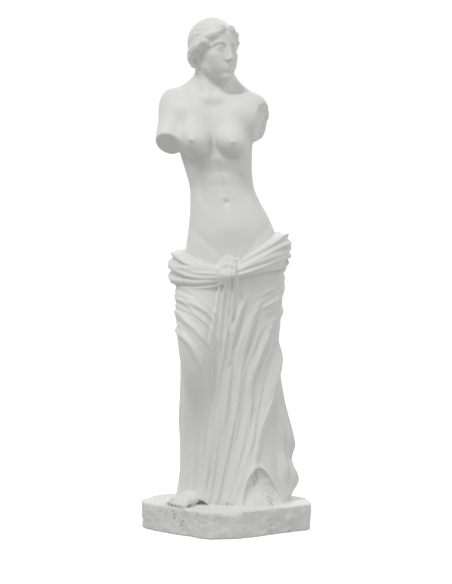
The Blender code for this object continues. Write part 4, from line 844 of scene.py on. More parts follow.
@dataclass(frozen=True)
class Train:
    """The cloth that spreads out over the front corner of the plinth, lifted in an arch at its edge."""

    middle: float = 38.0
    half_width: float = 34.0
    height: float = 0.235
    spread: float = 0.052
    rim: float = 0.0035
    rim_width: float = 0.0065
    # Angle in degrees and height of the arch's edge
    arch: Rows = (
        (-180, -0.02), (9, -0.02), (15, 0.008), (19, 0.036),
        (24, 0.058), (31, 0.072), (38, 0.077), (45, 0.072),
        (51, 0.057), (56, 0.034), (60, 0.008), (67, -0.02),
        (180, -0.02),
    )

    def relief(self, degrees: Array, height: Array) -> Array:
        """How far it spreads beyond the hanging cloth."""
        down = np.clip(1 - height / self.height, 0, 1)
        spread = self.spread * down**1.9 * ridge(degrees - self.middle, self.half_width)
        edge = Curve(self.arch)(degrees)[0]
        near_arch = rising(edge, 0.0, 0.01)
        return spread + self.rim * near_arch * ridge(height - edge - 0.004, self.rim_width)


@dataclass(frozen=True)
class SideFall:
    """The folded end of the mantle that hangs beside the carrying leg, with a stepped outline."""

    middle: float = 84.0
    half_width: float = 8.5
    # Degrees that it leans to the side for each unit of height
    slant: float = 30.0
    sway: float = 0.9
    # Angle beside the middle, lift of the edge, and share of the reach of each pleat
    pleats: Rows = (
        (-9.0, 0.020, 0.48),
        (-1.0, 0.006, 0.80),
        (7.5, -0.008, 1.00),
        (15.0, 0.012, 0.84),
        (23.0, 0.034, 0.60),
    )
    # Height and reach over the cloth of its edge
    edge: Rows = (
        (-0.040, 0.008), (0.000, 0.014), (0.022, 0.026), (0.050, 0.042),
        (0.064, 0.040), (0.086, 0.028), (0.104, 0.030), (0.124, 0.036),
        (0.142, 0.032), (0.190, 0.018), (0.290, 0.002), (0.330, 0.000),
    )

    def relief(self, degrees: Array, height: Array) -> Array:
        """Its height over the cloth."""
        reach = Curve(self.edge)
        lean = self.middle + self.slant * height
        pleats = []
        for turn, lift, share in self.pleats:
            sway = self.sway * np.sin(30.0 * height + turn)
            place = (degrees - lean - turn - sway) / self.half_width
            full = share * reach(height - lift)[0]
            pleats.append(full * np.clip(1 - np.abs(place) ** 1.3, 0, 1) ** 0.9)
        return np.max(pleats, axis=0)


@dataclass(frozen=True)
class MantleEnd:
    """The pleated end of the mantle that hangs from the tuck in front."""

    middle: float = -2.0
    half_width: float = 25.0
    top: float = 0.49
    low: float = 0.250
    thickness: float = 0.0060
    pleats: int = 4
    pleat_depth: float = 0.0055
    # How far the lower edge rises from pleat to pleat, and within each one
    step: float = 0.022
    zigzag: float = 0.012
    # Degrees that it drifts to the side on its way down, and its width at the top as a share
    drift: float = 6.0
    top_share: float = 0.45

    def relief(self, degrees: Array, height: Array) -> Array:
        """Its height over the cloth, with a lower edge that runs in zigzag."""
        down = np.clip((self.top - height) / (self.top - self.low), 0, 1)
        width = self.half_width * (self.top_share + (1 - self.top_share) * down)
        place = (degrees - self.middle + self.drift * down) / width
        pleat = (place + 1) / 2 * self.pleats
        saw = pleat - np.floor(pleat)
        steps = np.abs(np.floor(pleat) - (self.pleats - 1) / 2)
        edge = self.low + self.step * steps + self.zigzag * np.abs(2 * saw - 1)
        within = falling(np.abs(place), 1, 0.22) * rising(height, edge, 0.006)
        crest = 1 - np.sqrt((2 * saw - 1) ** 2 + 0.02)
        return within * (self.thickness + self.pleat_depth * crest)


@dataclass
class Drapery:
    """The mantle round the hips and legs, kept as a reach from its middle line in each direction."""

    trunk: Trunk
    across: int = 1100
    up: int = 800
    softening: int = 2
    fine_depth: float = 1.4
    # How much nearer a fold's crest lies to one side, and how round it joins its neighbours
    fold_skew: float = 0.25
    fold_join: float = 0.0030
    top: float = 0.60
    tuck_angle: float = 2.0
    tuck_place: tuple[float, float, float] = (0.004, -0.068, 0.478)
    tuck_folds: int = 7
    strands: int = 13
    strand_crispness: float = 1.45
    thickness: float = 0.009
    # How far the inner core lies behind the cloth, and how high it reaches
    core_recess: float = 0.013
    core_top: float = 0.4
    # How far the rock lies behind the cloth, and comes out again at its foot
    recess: float = 0.0085
    foot_of_rock: float = 0.016
    foot_of_rock_height: float = 0.045
    end: MantleEnd = field(default_factory=MantleEnd)
    train: Train = field(default_factory=Train)
    side_fall: SideFall = field(default_factory=SideFall)
    # Height, then place to the side and in depth, and radius of each leg in the cloth
    carrying_leg: Rows = (
        (0.000, 0.046, 0.004, 0.050),
        (0.040, 0.044, 0.006, 0.034),
        (0.120, 0.045, 0.012, 0.028),
        (0.200, 0.048, 0.014, 0.034),
        (0.285, 0.051, 0.000, 0.033),
        (0.360, 0.053, -0.003, 0.044),
        (0.440, 0.054, -0.001, 0.055),
        (0.500, 0.052, 0.004, 0.058),
        (0.560, 0.036, 0.004, 0.045),
    )
    free_leg: Rows = (
        (0.000, -0.030, -0.004, 0.046),
        (0.040, -0.031, -0.005, 0.032),
        (0.120, -0.037, -0.018, 0.027),
        (0.200, -0.046, -0.041, 0.030),
        (0.285, -0.055, -0.067, 0.031),
        (0.320, -0.056, -0.066, 0.035),
        (0.380, -0.050, -0.046, 0.045),
        (0.440, -0.043, -0.025, 0.053),
        (0.500, -0.032, -0.008, 0.056),
        (0.560, -0.012, 0.004, 0.040),
    )
    # Height and place of the middle line
    middle: Rows = (
        (0.00, 0.008, 0.004),
        (0.12, 0.006, 0.000),
        (0.30, 0.002, -0.012),
        (0.50, 0.011, 0.005),
        (0.62, 0.010, 0.004),
    )
    # Height, middle, half width and reach behind of the cloth that hangs from the seat
    back_fall: Rows = (
        (0.00, 0.012, 0.086, 0.082),
        (0.07, 0.010, 0.058, 0.060),
        (0.20, 0.004, 0.050, 0.048),
        (0.34, 0.004, 0.066, 0.056),
        (0.44, 0.010, 0.084, 0.074),
        (0.50, 0.013, 0.087, 0.079),
        (0.60, 0.010, 0.070, 0.050),
    )
    # Angle in degrees and height of the upper edge, and of the hem where the train doesn't lift it
    upper_edge: Rows = (
        (-180, 0.549), (-120, 0.526), (-75, 0.513), (-30, 0.498),
        (0, 0.500), (35, 0.520), (80, 0.551), (130, 0.559),
        (180, 0.549),
    )
    hem: Rows = (
        (-180, 0.004), (-90, 0.006), (-66, 0.011), (-50, 0.017),
        (-32, 0.004), (8, -0.004), (95, -0.004), (180, 0.004),
    )

    def __post_init__(self) -> None:
        """Prepares the curves and draws all the folds."""
        self._carrying, self._free = Curve(self.carrying_leg), Curve(self.free_leg)
        self._middle, self._back = Curve(self.middle), Curve(self.back_fall)
        self._upper, self._hem = Curve(self.upper_edge), Curve(self.hem)
        self._arch = Curve(self.train.arch)
        self.angles = np.linspace(-math.pi, math.pi, self.across, endpoint=False)
        self.heights = np.linspace(0, self.top, self.up)
        self.base = self.measured_form()
        slope = (np.roll(self.base, -1, 0) - np.roll(self.base, 1, 0)) / (4 * math.pi / self.across)
        self.arc = np.hypot(self.base, slope) * 2 * math.pi / self.across
        self.fold = np.zeros_like(self.base)
        for family in MAIN_FOLDS:
            self.lay_family(family)
        degrees, heights = np.degrees(self.angles)[:, None], self.heights[None, :]
        self.raise_to(self.end.relief(degrees, heights), 0.0010)
        self.raise_to(self.side_fall.relief(degrees, heights), 0.0030)
        for family in FINE_FOLDS:
            self.lay_family(family)
        self.reach = self.base + self.softened(self.fold) + self.train.relief(degrees, heights)

    def legs(self, p: Array) -> Array:
        """The cloth's smooth form: stretched round both legs, and hanging from the seat behind."""
        ax, ay, ar = self._carrying(p[:, 2])
        bx, by, br = self._free(p[:, 2])
        dx, dy = bx - ax, by - ay
        t = np.clip(((p[:, 0] - ax) * dx + (p[:, 1] - ay) * dy) / (dx * dx + dy * dy), 0, 1)
        dip = 0.020 * 4 * t * (1 - t) * falling(p[:, 2], 0.46, 0.2)
        around = np.hypot(p[:, 0] - ax - t * dx, p[:, 1] - ay - t * dy) - (ar + (br - ar) * t) + dip
        centre, wide, reach = self._back(p[:, 2])
        seat = 0.010
        across, back_y = p[:, 0] - centre, p[:, 1] - seat
        x, y = across / wide, back_y / np.where(back_y > 0, reach - seat, 0.03)
        back = np.hypot(across, back_y) * (1 - 1 / (np.hypot(x, y) + 1e-6))
        return blend_in(around, back, 0.035)

    def form(self, p: Array) -> Array:
        """What the cloth lies on: the legs' form, and the hips with the cloth's own thickness."""
        hips = self.trunk.core(self.trunk.upright(p)) - self.thickness
        return blend_in(self.legs(p), hips, 0.02)

    def measured_form(self) -> Array:
        """The form's reach on the grid of angles and heights, found by halving."""
        directions, levels, nearest, furthest, halvings = 180, 120, 0.004, 0.25, 20
        coarse_a = np.linspace(-math.pi, math.pi, directions, endpoint=False)
        coarse_h = np.linspace(0, self.top, levels)
        a, h = np.meshgrid(coarse_a, coarse_h, indexing="ij")
        x, y = self._middle(h)
        low, high = np.full(a.shape, nearest), np.full(a.shape, furthest)
        for _ in range(halvings):
            out = (low + high) / 2
            points = np.stack([x + out * np.sin(a), y - out * np.cos(a), h], axis=-1).reshape(-1, 3)
            inside = self.form(points).reshape(a.shape) < 0
            low, high = np.where(inside, out, low), np.where(inside, high, out)
        found = (low + high) / 2
        found = np.concatenate([found, found[:1]])
        columns = np.stack([np.interp(self.heights, coarse_h, row) for row in found])
        closed = np.append(coarse_a, math.pi)
        return np.stack([np.interp(self.angles, closed, column) for column in columns.T], axis=1)

    def raise_to(self, relief: Array, join: float) -> None:
        """Lays a relief over the folds, with a rounded join."""
        self.fold = -blend_in(-self.fold, -relief, join)

    def lay_family(self, family: FoldFamily) -> None:
        """Draws a family's folds, each a little different from the next."""
        first, last = np.array(family.first, float), np.array(family.last, float)
        for i in range(family.count):
            line = between(first, last, i / max(family.count - 1, 1))
            places, seed = np.arange(len(line)), family.seed
            line[:, 0] += family.sway * np.sin(2.4 * i + 1.9 * places + seed)
            line[0, 1] += 0.015 * np.sin(2.2 * i + seed)
            line[1:-1, 1] += 0.004 * np.sin(1.3 * i + 2.7 * places[1:-1] + seed)
            line[:, 2] *= 1 + 0.18 * np.sin(3.1 * i + 1.1 * places + 2 * seed)
            width = family.width * (1 + 0.20 * math.sin(1.7 * i + seed))
            depth = family.depth * (1 + 0.25 * math.sin(2.9 * i + 3 * seed))
            self.lay_fold(line, width, depth, family.kind)

    def lay_fold(self, line: Array, width: float, depth: float, kind: FoldKind) -> None:
        """Draws one fold on the cloth, measured along the cloth itself.

        Args:
            line: rows of (angle in degrees, height, fullness) that it runs through.
            width: half its width where it is full.
            depth: its height where it is full.
            kind: whether it rises over its neighbours, is added to them or is cut in.
        """
        gaps = np.diff(line[:, :2], axis=0) * (0.0013, 1)
        along = np.concatenate([[0], np.cumsum(np.hypot(gaps[:, 0], gaps[:, 1]))])
        angle, height, full = Curve(np.column_stack([along, line]), samples=30).values.T
        full = np.clip(full, 0.0, None)
        start = math.radians(angle.mean())
        turn = (self.angles - start + math.pi) % (2 * math.pi) - math.pi
        order = np.argsort(turn)
        columns = order[np.abs(turn[order]) < math.radians(np.ptp(angle)) / 2 + 0.6]
        above, below = self.heights > height.min() - 2 * width, self.heights < height.max() + 2 * width
        rows = np.flatnonzero(above & below)
        turn, up = turn[columns], self.heights[rows]
        across = np.cumsum(self.arc[np.ix_(columns, rows)], axis=0)
        across -= across[np.abs(turn).argmin()]
        nearest = np.clip(np.searchsorted(up, height), 0, len(rows) - 1)
        bearing = np.radians(angle) - start
        line_u = np.array([np.interp(b, turn, across[:, j]) for b, j in zip(bearing, nearest)])
        best = np.zeros(across.shape)
        for k in range(len(angle) - 1):
            wide = 1.3 * width * self.fold_share(max(full[k], full[k + 1]))
            low, high = sorted((height[k], height[k + 1]))
            r = slice(*np.searchsorted(up, (low - wide, high + wide)))
            left, right = sorted((bearing[k], bearing[k + 1]))
            c = slice(*np.searchsorted(turn, (left - wide / 0.028, right + wide / 0.028)))
            du, dv = line_u[k + 1] - line_u[k], height[k + 1] - height[k]
            u, v = across[c, r] - line_u[k], up[None, r] - height[k]
            t = np.clip((u * du + v * dv) / (du * du + dv * dv + 1e-12), 0, 1)
            u, v = u - t * du, v - t * dv
            thick = full[k] + (full[k + 1] - full[k]) * t
            reach = width * self.fold_share(thick) * (1 + self.fold_skew * np.sign(u * dv - v * du))
            crest = thick * np.clip(1 - np.sqrt((u**2 + v**2) / reach**2 + 0.012), 0, 1) ** 1.35
            best[c, r] = np.maximum(best[c, r], crest)
        here = np.ix_(columns, rows)
        if kind is FoldKind.RIDGE:
            self.fold[here] = -blend_in(-self.fold[here], -depth * best, self.fold_join)
        else:
            sign = 1.0 if kind is FoldKind.CREASE else -1.0
            self.fold[here] += sign * self.fine_depth * depth * best

    @staticmethod
    def fold_share(full: Array) -> Array:
        """The share of its width that a fold has at a fullness: a thin end is narrow too."""
        return 0.55 + 0.45 * full

    def softened(self, values: Array) -> Array:
        """The folds, rounded a little between neighbours."""
        for _ in range(self.softening):
            values = 0.5 * values + 0.25 * (np.roll(values, 1, 0) + np.roll(values, -1, 0))
            inner = 0.5 * values[:, 1:-1] + 0.25 * (values[:, 2:] + values[:, :-2])
            values = np.concatenate([values[:, :1], inner, values[:, -1:]], axis=1)
        return values

    def reach_at(self, angle: Array, height: Array) -> Array:
        """The cloth's reach, read between the grid's points."""
        a = (angle + math.pi) / (2 * math.pi) * self.across
        h = np.clip(height / self.top, 0, 0.99999) * (self.up - 1)
        i, j = np.floor(a).astype(int), np.floor(h).astype(int)
        fa, fh = a - i, h - j
        i0, i1 = i % self.across, (i + 1) % self.across
        low = self.reach[i0, j] * (1 - fa) + self.reach[i1, j] * fa
        high = self.reach[i0, j + 1] * (1 - fa) + self.reach[i1, j + 1] * fa
        return low * (1 - fh) + high * fh

    def hem_at(self, degrees: Array) -> Array:
        """The height of the hem, which the train lifts in an arch."""
        return np.maximum(self._hem(degrees)[0], self._arch(degrees)[0])

    @staticmethod
    def below(edge: Callable[[Array], Array], degrees: Array, out: Array, height: Array) -> Array:
        """The distance below an edge whose height changes round the figure, true where it is steep too.

        Args:
            edge: gives the edge's height at angles in degrees.
            degrees: the points' angles.
            out: their distances from the middle line.
            height: their heights.

        Returns:
            The distance, which is positive below the edge.
        """
        at, ahead = edge(degrees), edge(degrees + 1.0)
        slope = (ahead - at) / (math.radians(1.0) * np.clip(out, 0.03, None))
        return (at - height) / np.sqrt(1 + slope**2)

    def cloth(self, p: Array) -> Array:
        """The mantle from its rolled edge at the hips to the hem."""
        x, y = self._middle(p[:, 2])
        dx, dy = p[:, 0] - x, p[:, 1] - y
        angle, out = np.arctan2(dx, -dy), np.hypot(dx, dy)
        degrees = np.degrees(angle)
        reach = self.reach_at(angle, p[:, 2])
        upper = self._upper(degrees)[0]
        shelf = p[:, 2] - upper + 0.014 + 0.6 * np.clip(reach - out, 0, 0.03)
        d = keep_within(out - reach, shelf, 0.012)
        d = keep_within(d, self.below(self.hem_at, degrees, out, p[:, 2]), 0.002)
        d = np.minimum(d, np.maximum(out - reach + self.core_recess, p[:, 2] - self.core_top))
        return blend_in(d, self.rolled_edge(angle, out, p[:, 2], upper), 0.0025)

    def filling(self, p: Array) -> Array:
        """The broken rock under the train's arch, a little behind its edge and out again below."""
        x, y = self._middle(p[:, 2])
        dx, dy = p[:, 0] - x, p[:, 1] - y
        angle, out = np.arctan2(dx, -dy), np.hypot(dx, dy)
        under = self.below(lambda degrees: self._arch(degrees)[0], np.degrees(angle), out, p[:, 2])
        low = np.clip(1 - p[:, 2] / self.foot_of_rock_height, 0, 1)
        reach = self.reach_at(angle, p[:, 2]) - self.recess + self.foot_of_rock * low**1.6
        return keep_within((out - reach) * 0.9, -under - 0.004 - 0.006 * low, 0.004)

    def rolled_edge(self, angle: Array, out: Array, height: Array, upper: Array) -> Array:
        """The rolled upper edge: strands that cross each other and draw together at the tuck."""
        base = self.reach_at(angle, upper - 0.034)
        apart = np.abs(np.degrees(angle) - self.tuck_angle)
        spread = 0.30 + 0.70 * np.clip(apart / 70, 0, 1) ** 0.8
        proud = 0.004 * rising(apart, 40, 50)
        band = np.abs(height - upper + 0.033) / (0.028 * spread + 0.004)
        d = (out - base - proud - 0.0070 * np.sqrt(np.clip(1 - band**2, 0, 1))) * 0.8
        d = keep_within(d, (band - 1) * 0.02, 0.008)
        half = (self.strands - 1) / 2
        power = self.strand_crispness
        for i in range(self.strands):
            place = (i - half) / (half + 0.5)
            turn = 2.0 * angle + 2.2 * i
            wander = 0.0050 * np.sin(turn) + 0.0024 * np.sin(3 * angle + i)
            wander = wander + 0.0012 * np.sin(7 * angle + 2.1 * i)
            middle = upper - 0.033 + spread * (0.031 * place + wander)
            cross = 0.0030 * np.cos(turn + 0.9 * i) * spread
            centre = base + proud + 0.0012 + cross + 0.006 * (1 - place**2)
            thick = (0.0043 + 0.0014 * np.sin(2 * angle + 1.9 * i)) * (0.80 + 0.20 * spread)
            crisp = np.abs(out - centre) ** power + np.abs(height - middle) ** power
            d = blend_in(d, crisp ** (1 / power) * 0.85 - thick, 0.0018)
        return d

    def tuck(self, p: Array) -> Array:
        """The gathered cloth that is pulled up through the rolled edge in front and falls over it."""
        q = p - np.array(self.tuck_place)
        knot = (
            (-0.024, 0.010, -0.002, 0.009),
            (0.000, 0.003, 0.008, 0.012),
            (0.022, 0.008, 0.014, 0.009),
        )
        d = limbs(q, knot, 0.008)
        for i in range(self.tuck_folds):
            x = -0.0180 + 0.0060 * i
            bend = 0.0018 * math.sin(2.1 * i)
            top = 0.024 - 22.0 * (x - 0.003) ** 2
            fold = (
                (x * 0.70 + 0.003, 0.012, top, 0.0034),
                (x * 0.78 + 0.002, -0.003 + bend, top - 0.002, 0.0046),
                (x * 0.92, -0.011 + bend, top - 0.016, 0.0046),
                (x * 1.10 - 0.001, -0.008 - bend, -0.020, 0.0042),
                (x * 1.35 - 0.003, 0.001, -0.046 - 0.5 * bend, 0.0034),
            )
            d = blend_in(d, limbs(q, fold, 0.004), 0.0016)
        return d

    def field(self, p: Array) -> Array:
        """The mantle with the tuck in front."""
        return blend_in(self.cloth(p), only_between(p, self.tuck, 0.36, 0.58), 0.003)


# The plinth


@dataclass
class Plinth:
    """The low slab with rough broken sides and a smooth top, in metres."""

    width: float = 0.300
    depth: float = 0.240
    height: float = 0.046
    edge_rounding: float = 0.005
    corner_rounding: float = 0.016
    # How far the sides slope out for each unit down
    slope: float = 0.05
    # Corners seen from above, as shares of the half width and half depth
    corners: Rows = (
        (-1.00, 0.06), (-0.94, -0.16), (-0.20, -1.00), (0.16, -0.96),
        (1.00, -0.24), (0.98, 0.30), (0.62, 0.94), (-0.34, 1.00),
        (-0.86, 0.56),
    )

    def roughness(self, p: Array) -> Array:
        """The broken stone's relief: broad facets, upright chisel strokes and small pits."""
        rough = 0.0022 * lumps(p, 0.030, 11) + 0.0010 * lumps(p, 0.011, 12)
        rough = rough + 0.0006 * lumps(p, 0.0042, 13)
        strokes = lumps(p * np.array([1.0, 1.0, 0.30]), 0.0075, 14)
        pits = lumps(p, 0.0050, 15)
        return rough + 0.0014 * np.clip(strokes - 0.1, 0, 1) + 0.0020 * np.clip(pits - 0.5, 0, 1)

    def sides(self, p: Array, rough: Array) -> Array:
        """The distance out of the nearest side."""
        corners = np.array(self.corners) * np.array([self.width, self.depth]) / 2
        side = np.full(len(p), -1.0)
        for a, b in zip(corners, np.roll(corners, -1, axis=0)):
            along = (b - a) / np.linalg.norm(b - a)
            plane = (p[:, 0] - a[0]) * along[1] - (p[:, 1] - a[1]) * along[0] + rough
            side = keep_within(side, plane, self.corner_rounding)
        return side + self.slope * (self.height - p[:, 2])

    def field(self, p: Array) -> Array:
        """The slab with its chipped upper edge."""
        rough = self.roughness(p)
        side = self.sides(p, rough)
        top = p[:, 2] - self.height + 0.12 * rough
        chips = 0.0045 * np.clip(lumps(p, 0.019, 16) - 0.15, 0, 1)
        d = keep_within(side, top, self.edge_rounding * 0.5)
        d = np.maximum(d, (side + top) * 0.7 + 0.0012 + chips)
        return np.maximum(d, -p[:, 2])


# From the field to a mesh


@dataclass
class Carver:
    """Turns a field into one closed mesh of small faces."""

    cell: float = FINE_CELL
    block: int = 8
    steepest: float = 2.4
    workers: int = 4
    rounds: int = 30

    def values_of(self, form: Field, points: Array, size: int = 40000) -> Array:
        """The field's values at many points, worked out in parts side by side."""
        parts = [points[i : i + size] for i in range(0, len(points), size)]
        with ThreadPoolExecutor(self.workers) as pool:
            return np.concatenate(list(pool.map(form, parts)))

    def sample(self, form: Field, low: Array, high: Array) -> Array:
        """The field on a grid, worked out only in blocks that the surface may cross."""
        n = self.block
        blocks = np.ceil((high - low) / self.cell / n).astype(int) + 1
        index = np.stack(np.meshgrid(*(np.arange(k) for k in blocks), indexing="ij"), -1).reshape(-1, 3)
        at_middle = self.values_of(form, low + (index * n + (n - 1) / 2) * self.cell)
        values = np.where(at_middle > 0, 1.0, -1.0).astype(np.float32).reshape(blocks)
        values = values.repeat(n, 0).repeat(n, 1).repeat(n, 2)
        near = index[np.abs(at_middle) < self.steepest * self.cell * (n * 0.87 + 1)]
        within = np.stack(np.meshgrid(*(np.arange(n),) * 3, indexing="ij"), -1).reshape(-1, 3)
        points = low + (near[:, None, :] * n + within).reshape(-1, 3) * self.cell
        found = self.values_of(form, points).astype(np.float32).reshape(-1, n, n, n)
        grid = values.reshape(blocks[0], n, blocks[1], n, blocks[2], n)
        grid[near[:, 0], :, near[:, 1], :, near[:, 2], :] = found
        return values

    def settle_crossings(self, values: Array) -> Array:
        """Fills in where two edges would touch, so that every edge of the mesh has two faces."""
        for _ in range(self.rounds):
            changed = 0
            for axis in range(3):
                u, v = (axis + 1) % 3, (axis + 2) % 3
                parts = []
                for a, b in ((0, 0), (1, 0), (1, 1), (0, 1)):
                    corner = [slice(None)] * 3
                    corner[u] = slice(a, values.shape[u] - 1 + a)
                    corner[v] = slice(b, values.shape[v] - 1 + b)
                    parts.append(values[tuple(corner)])
                for first in (0, 1):
                    inside = [part < 0 for part in parts]
                    c, d = (first + 1) % 4, (first + 3) % 4
                    bad = inside[first] & inside[first + 2] & ~inside[c] & ~inside[d]
                    parts[c][bad] = JUST_INSIDE
                    changed += int(bad.sum())
            if not changed:
                break
        return values

    def surface(self, values: Array, low: Array) -> tuple[Array, Array]:
        """Corners and four-sided faces of the surface where the values change sign."""
        inside = values < 0
        shape = values.shape
        stride = np.array([shape[1] * shape[2], shape[2], 1])
        ids, places = [], []
        for axis in range(3):
            near, far = [slice(None)] * 3, [slice(None)] * 3
            near[axis], far[axis] = slice(0, -1), slice(1, None)
            start = np.argwhere(inside[tuple(near)] != inside[tuple(far)])
            step, u, v = np.zeros(3, int), np.zeros(3, int), np.zeros(3, int)
            step[axis], u[(axis + 1) % 3], v[(axis + 2) % 3] = 1, 1, 1
            a, b = values[tuple(start.T)].astype(float), values[tuple((start + step).T)].astype(float)
            places.append(start + step * (a / (a - b))[:, None])
            around = np.stack([start - u - v, start - v, start, start - u], axis=1) @ stride
            ids.append(np.where((a < 0)[:, None], around, around[:, ::-1]))
        face = np.unique(np.concatenate(ids).ravel(), return_inverse=True)[1]
        count, corner = np.bincount(face), np.concatenate(places)
        points = [np.bincount(face, weights=np.repeat(corner[:, k], 4)) / count for k in range(3)]
        return low + np.stack(points, axis=1) * self.cell, face.reshape(-1, 4)

    @staticmethod
    def largest_body(points: Array, faces: Array) -> tuple[Array, Array]:
        """Only the body with the most corners, without specks."""
        label = np.arange(len(points))
        while True:
            least = label[faces].min(axis=1)
            new = label.copy()
            for k in range(4):
                np.minimum.at(new, faces[:, k], least)
            new = new[new]
            if (new == label).all():
                break
            label = new
        keep = label == np.bincount(label).argmax()
        number = np.cumsum(keep) - 1
        return points[keep], number[faces[keep[faces[:, 0]]]]

    def carve(self, form: Field, low: Array, high: Array) -> tuple[Array, Array]:
        """The field's corners and faces between two corners of space."""
        values = self.settle_crossings(self.sample(form, low, high))
        return self.largest_body(*self.surface(values, low))


def mesh_from(name: str, points: Array, faces: Array) -> bpy.types.Mesh:
    """A mesh of four-sided faces."""
    mesh = bpy.data.meshes.new(name)
    mesh.vertices.add(len(points))
    mesh.vertices.foreach_set("co", points.astype(np.float32).ravel())
    mesh.loops.add(faces.size)
    mesh.loops.foreach_set("vertex_index", faces.astype(np.int32).ravel())
    mesh.polygons.add(len(faces))
    mesh.polygons.foreach_set("loop_start", np.arange(0, faces.size, 4, dtype=np.int32))
    mesh.update(calc_edges=True)
    mesh.validate()
    return mesh


def settled(obj: bpy.types.Object, name: str) -> bpy.types.Object:
    """A new object with the mesh that obj's modifiers make, in obj's place."""
    graph = bpy.context.evaluated_depsgraph_get()
    mesh = bpy.data.meshes.new_from_object(obj.evaluated_get(graph), depsgraph=graph)
    mesh.name = name
    fresh = bpy.data.objects.new(name, mesh)
    bpy.context.scene.collection.objects.link(fresh)
    bpy.data.objects.remove(obj)
    return fresh


# Finishes


def node(tree: bpy.types.NodeTree, kind: str, **settings: object) -> bpy.types.Node:
    """Adds a node to a tree and sets its properties."""
    made = tree.nodes.new(kind)
    for key, value in settings.items():
        setattr(made, key, value)
    return made


def fill(target: bpy.types.Node, **values: object) -> bpy.types.Node:
    """Sets a node's unlinked inputs, named with _ for a space."""
    for key, value in values.items():
        target.inputs[key.replace("_", " ")].default_value = value
    return target


def math_node(tree: bpy.types.NodeTree, operation: str, *inputs: object) -> bpy.types.NodeSocket:
    """Adds a Math node and returns its result.

    Args:
        tree: the tree that it goes in.
        operation: what it does.
        inputs: numbers or sockets, in order.

    Returns:
        The result's socket.
    """
    made = node(tree, "ShaderNodeMath", operation=operation)
    for k, value in enumerate(inputs):
        if isinstance(value, (int, float)):
            made.inputs[k].default_value = value
        else:
            tree.links.new(value, made.inputs[k])
    return made.outputs[0]


def above(
    tree: bpy.types.NodeTree, value: bpy.types.NodeSocket, floor: float, gain: float
) -> bpy.types.NodeSocket:
    """How far a value rises above a floor, times a gain, and 0 below it."""
    rise = math_node(tree, "MULTIPLY", math_node(tree, "SUBTRACT", value, floor), gain)
    return math_node(tree, "MAXIMUM", rise, 0.0)


def mixed(
    tree: bpy.types.NodeTree, share: bpy.types.NodeSocket, first: object, second: object
) -> bpy.types.NodeSocket:
    """A colour that is the first one where the share is 0 and the second one where it is 1."""
    made = node(tree, "ShaderNodeMix", data_type="RGBA")
    for k, value in ((0, share), (6, first), (7, second)):
        if isinstance(value, tuple):
            made.inputs[k].default_value = value
        else:
            tree.links.new(value, made.inputs[k])
    return made.outputs[2]


def noise(
    tree: bpy.types.NodeTree, start: bpy.types.Node, size: str, detail: float, roughness: float
) -> bpy.types.NodeSocket:
    """A group's noise at its Place, whose lumps have the size that the named input gives."""
    made = fill(node(tree, "ShaderNodeTexNoise"), Detail=detail, Roughness=roughness)
    tree.links.new(start.outputs["Place"], made.inputs["Vector"])
    tree.links.new(math_node(tree, "DIVIDE", 1.0, start.outputs[size]), made.inputs["Scale"])
    return made.outputs[0]


def new_group(name: str, inputs: Sequence[tuple], outputs: Sequence[tuple]) -> tuple:
    """A shader node group with named sockets.

    Args:
        name: the group's name.
        inputs: (name, socket type, default value) of each input.
        outputs: (name, socket type) of each output.

    Returns:
        The tree, its input node and its output node.
    """
    tree = bpy.data.node_groups.new(name, "ShaderNodeTree")
    for label, kind, value in inputs:
        made = tree.interface.new_socket(label, in_out="INPUT", socket_type=kind)
        if value is not None:
            made.default_value = value
    for label, kind in outputs:
        tree.interface.new_socket(label, in_out="OUTPUT", socket_type=kind)
    return tree, node(tree, "NodeGroupInput"), node(tree, "NodeGroupOutput")


FLOAT, COLOUR, VECTOR = "NodeSocketFloat", "NodeSocketColor", "NodeSocketVector"


def cast_grain_group() -> bpy.types.NodeTree:
    """The fine grain of a cast surface: a height that changes from place to place."""
    tree, start, end = new_group(
        "cast_grain",
        (
            ("Place", VECTOR, None),
            ("Grain Size", FLOAT, 0.0012),
            ("Wave Size", FLOAT, 0.02),
            ("Wave Share", FLOAT, 0.4),
        ),
        (("Height", FLOAT), ("Speck", FLOAT)),
    )
    link = tree.links.new
    fine = noise(tree, start, "Grain Size", 3.0, 0.6)
    wave = noise(tree, start, "Wave Size", 2.0, 0.5)
    wave = math_node(tree, "MULTIPLY", wave, start.outputs["Wave Share"])
    link(math_node(tree, "ADD", fine, wave), end.inputs["Height"])
    speck = fill(node(tree, "ShaderNodeTexVoronoi", feature="F1"), Randomness=1.0)
    link(start.outputs["Place"], speck.inputs["Vector"])
    link(math_node(tree, "DIVIDE", 0.18, start.outputs["Grain Size"]), speck.inputs["Scale"])
    small = math_node(tree, "SUBTRACT", 0.10, speck.outputs["Distance"])
    link(math_node(tree, "MULTIPLY", math_node(tree, "MAXIMUM", small, 0.0), 10.0), end.inputs["Speck"])
    return tree


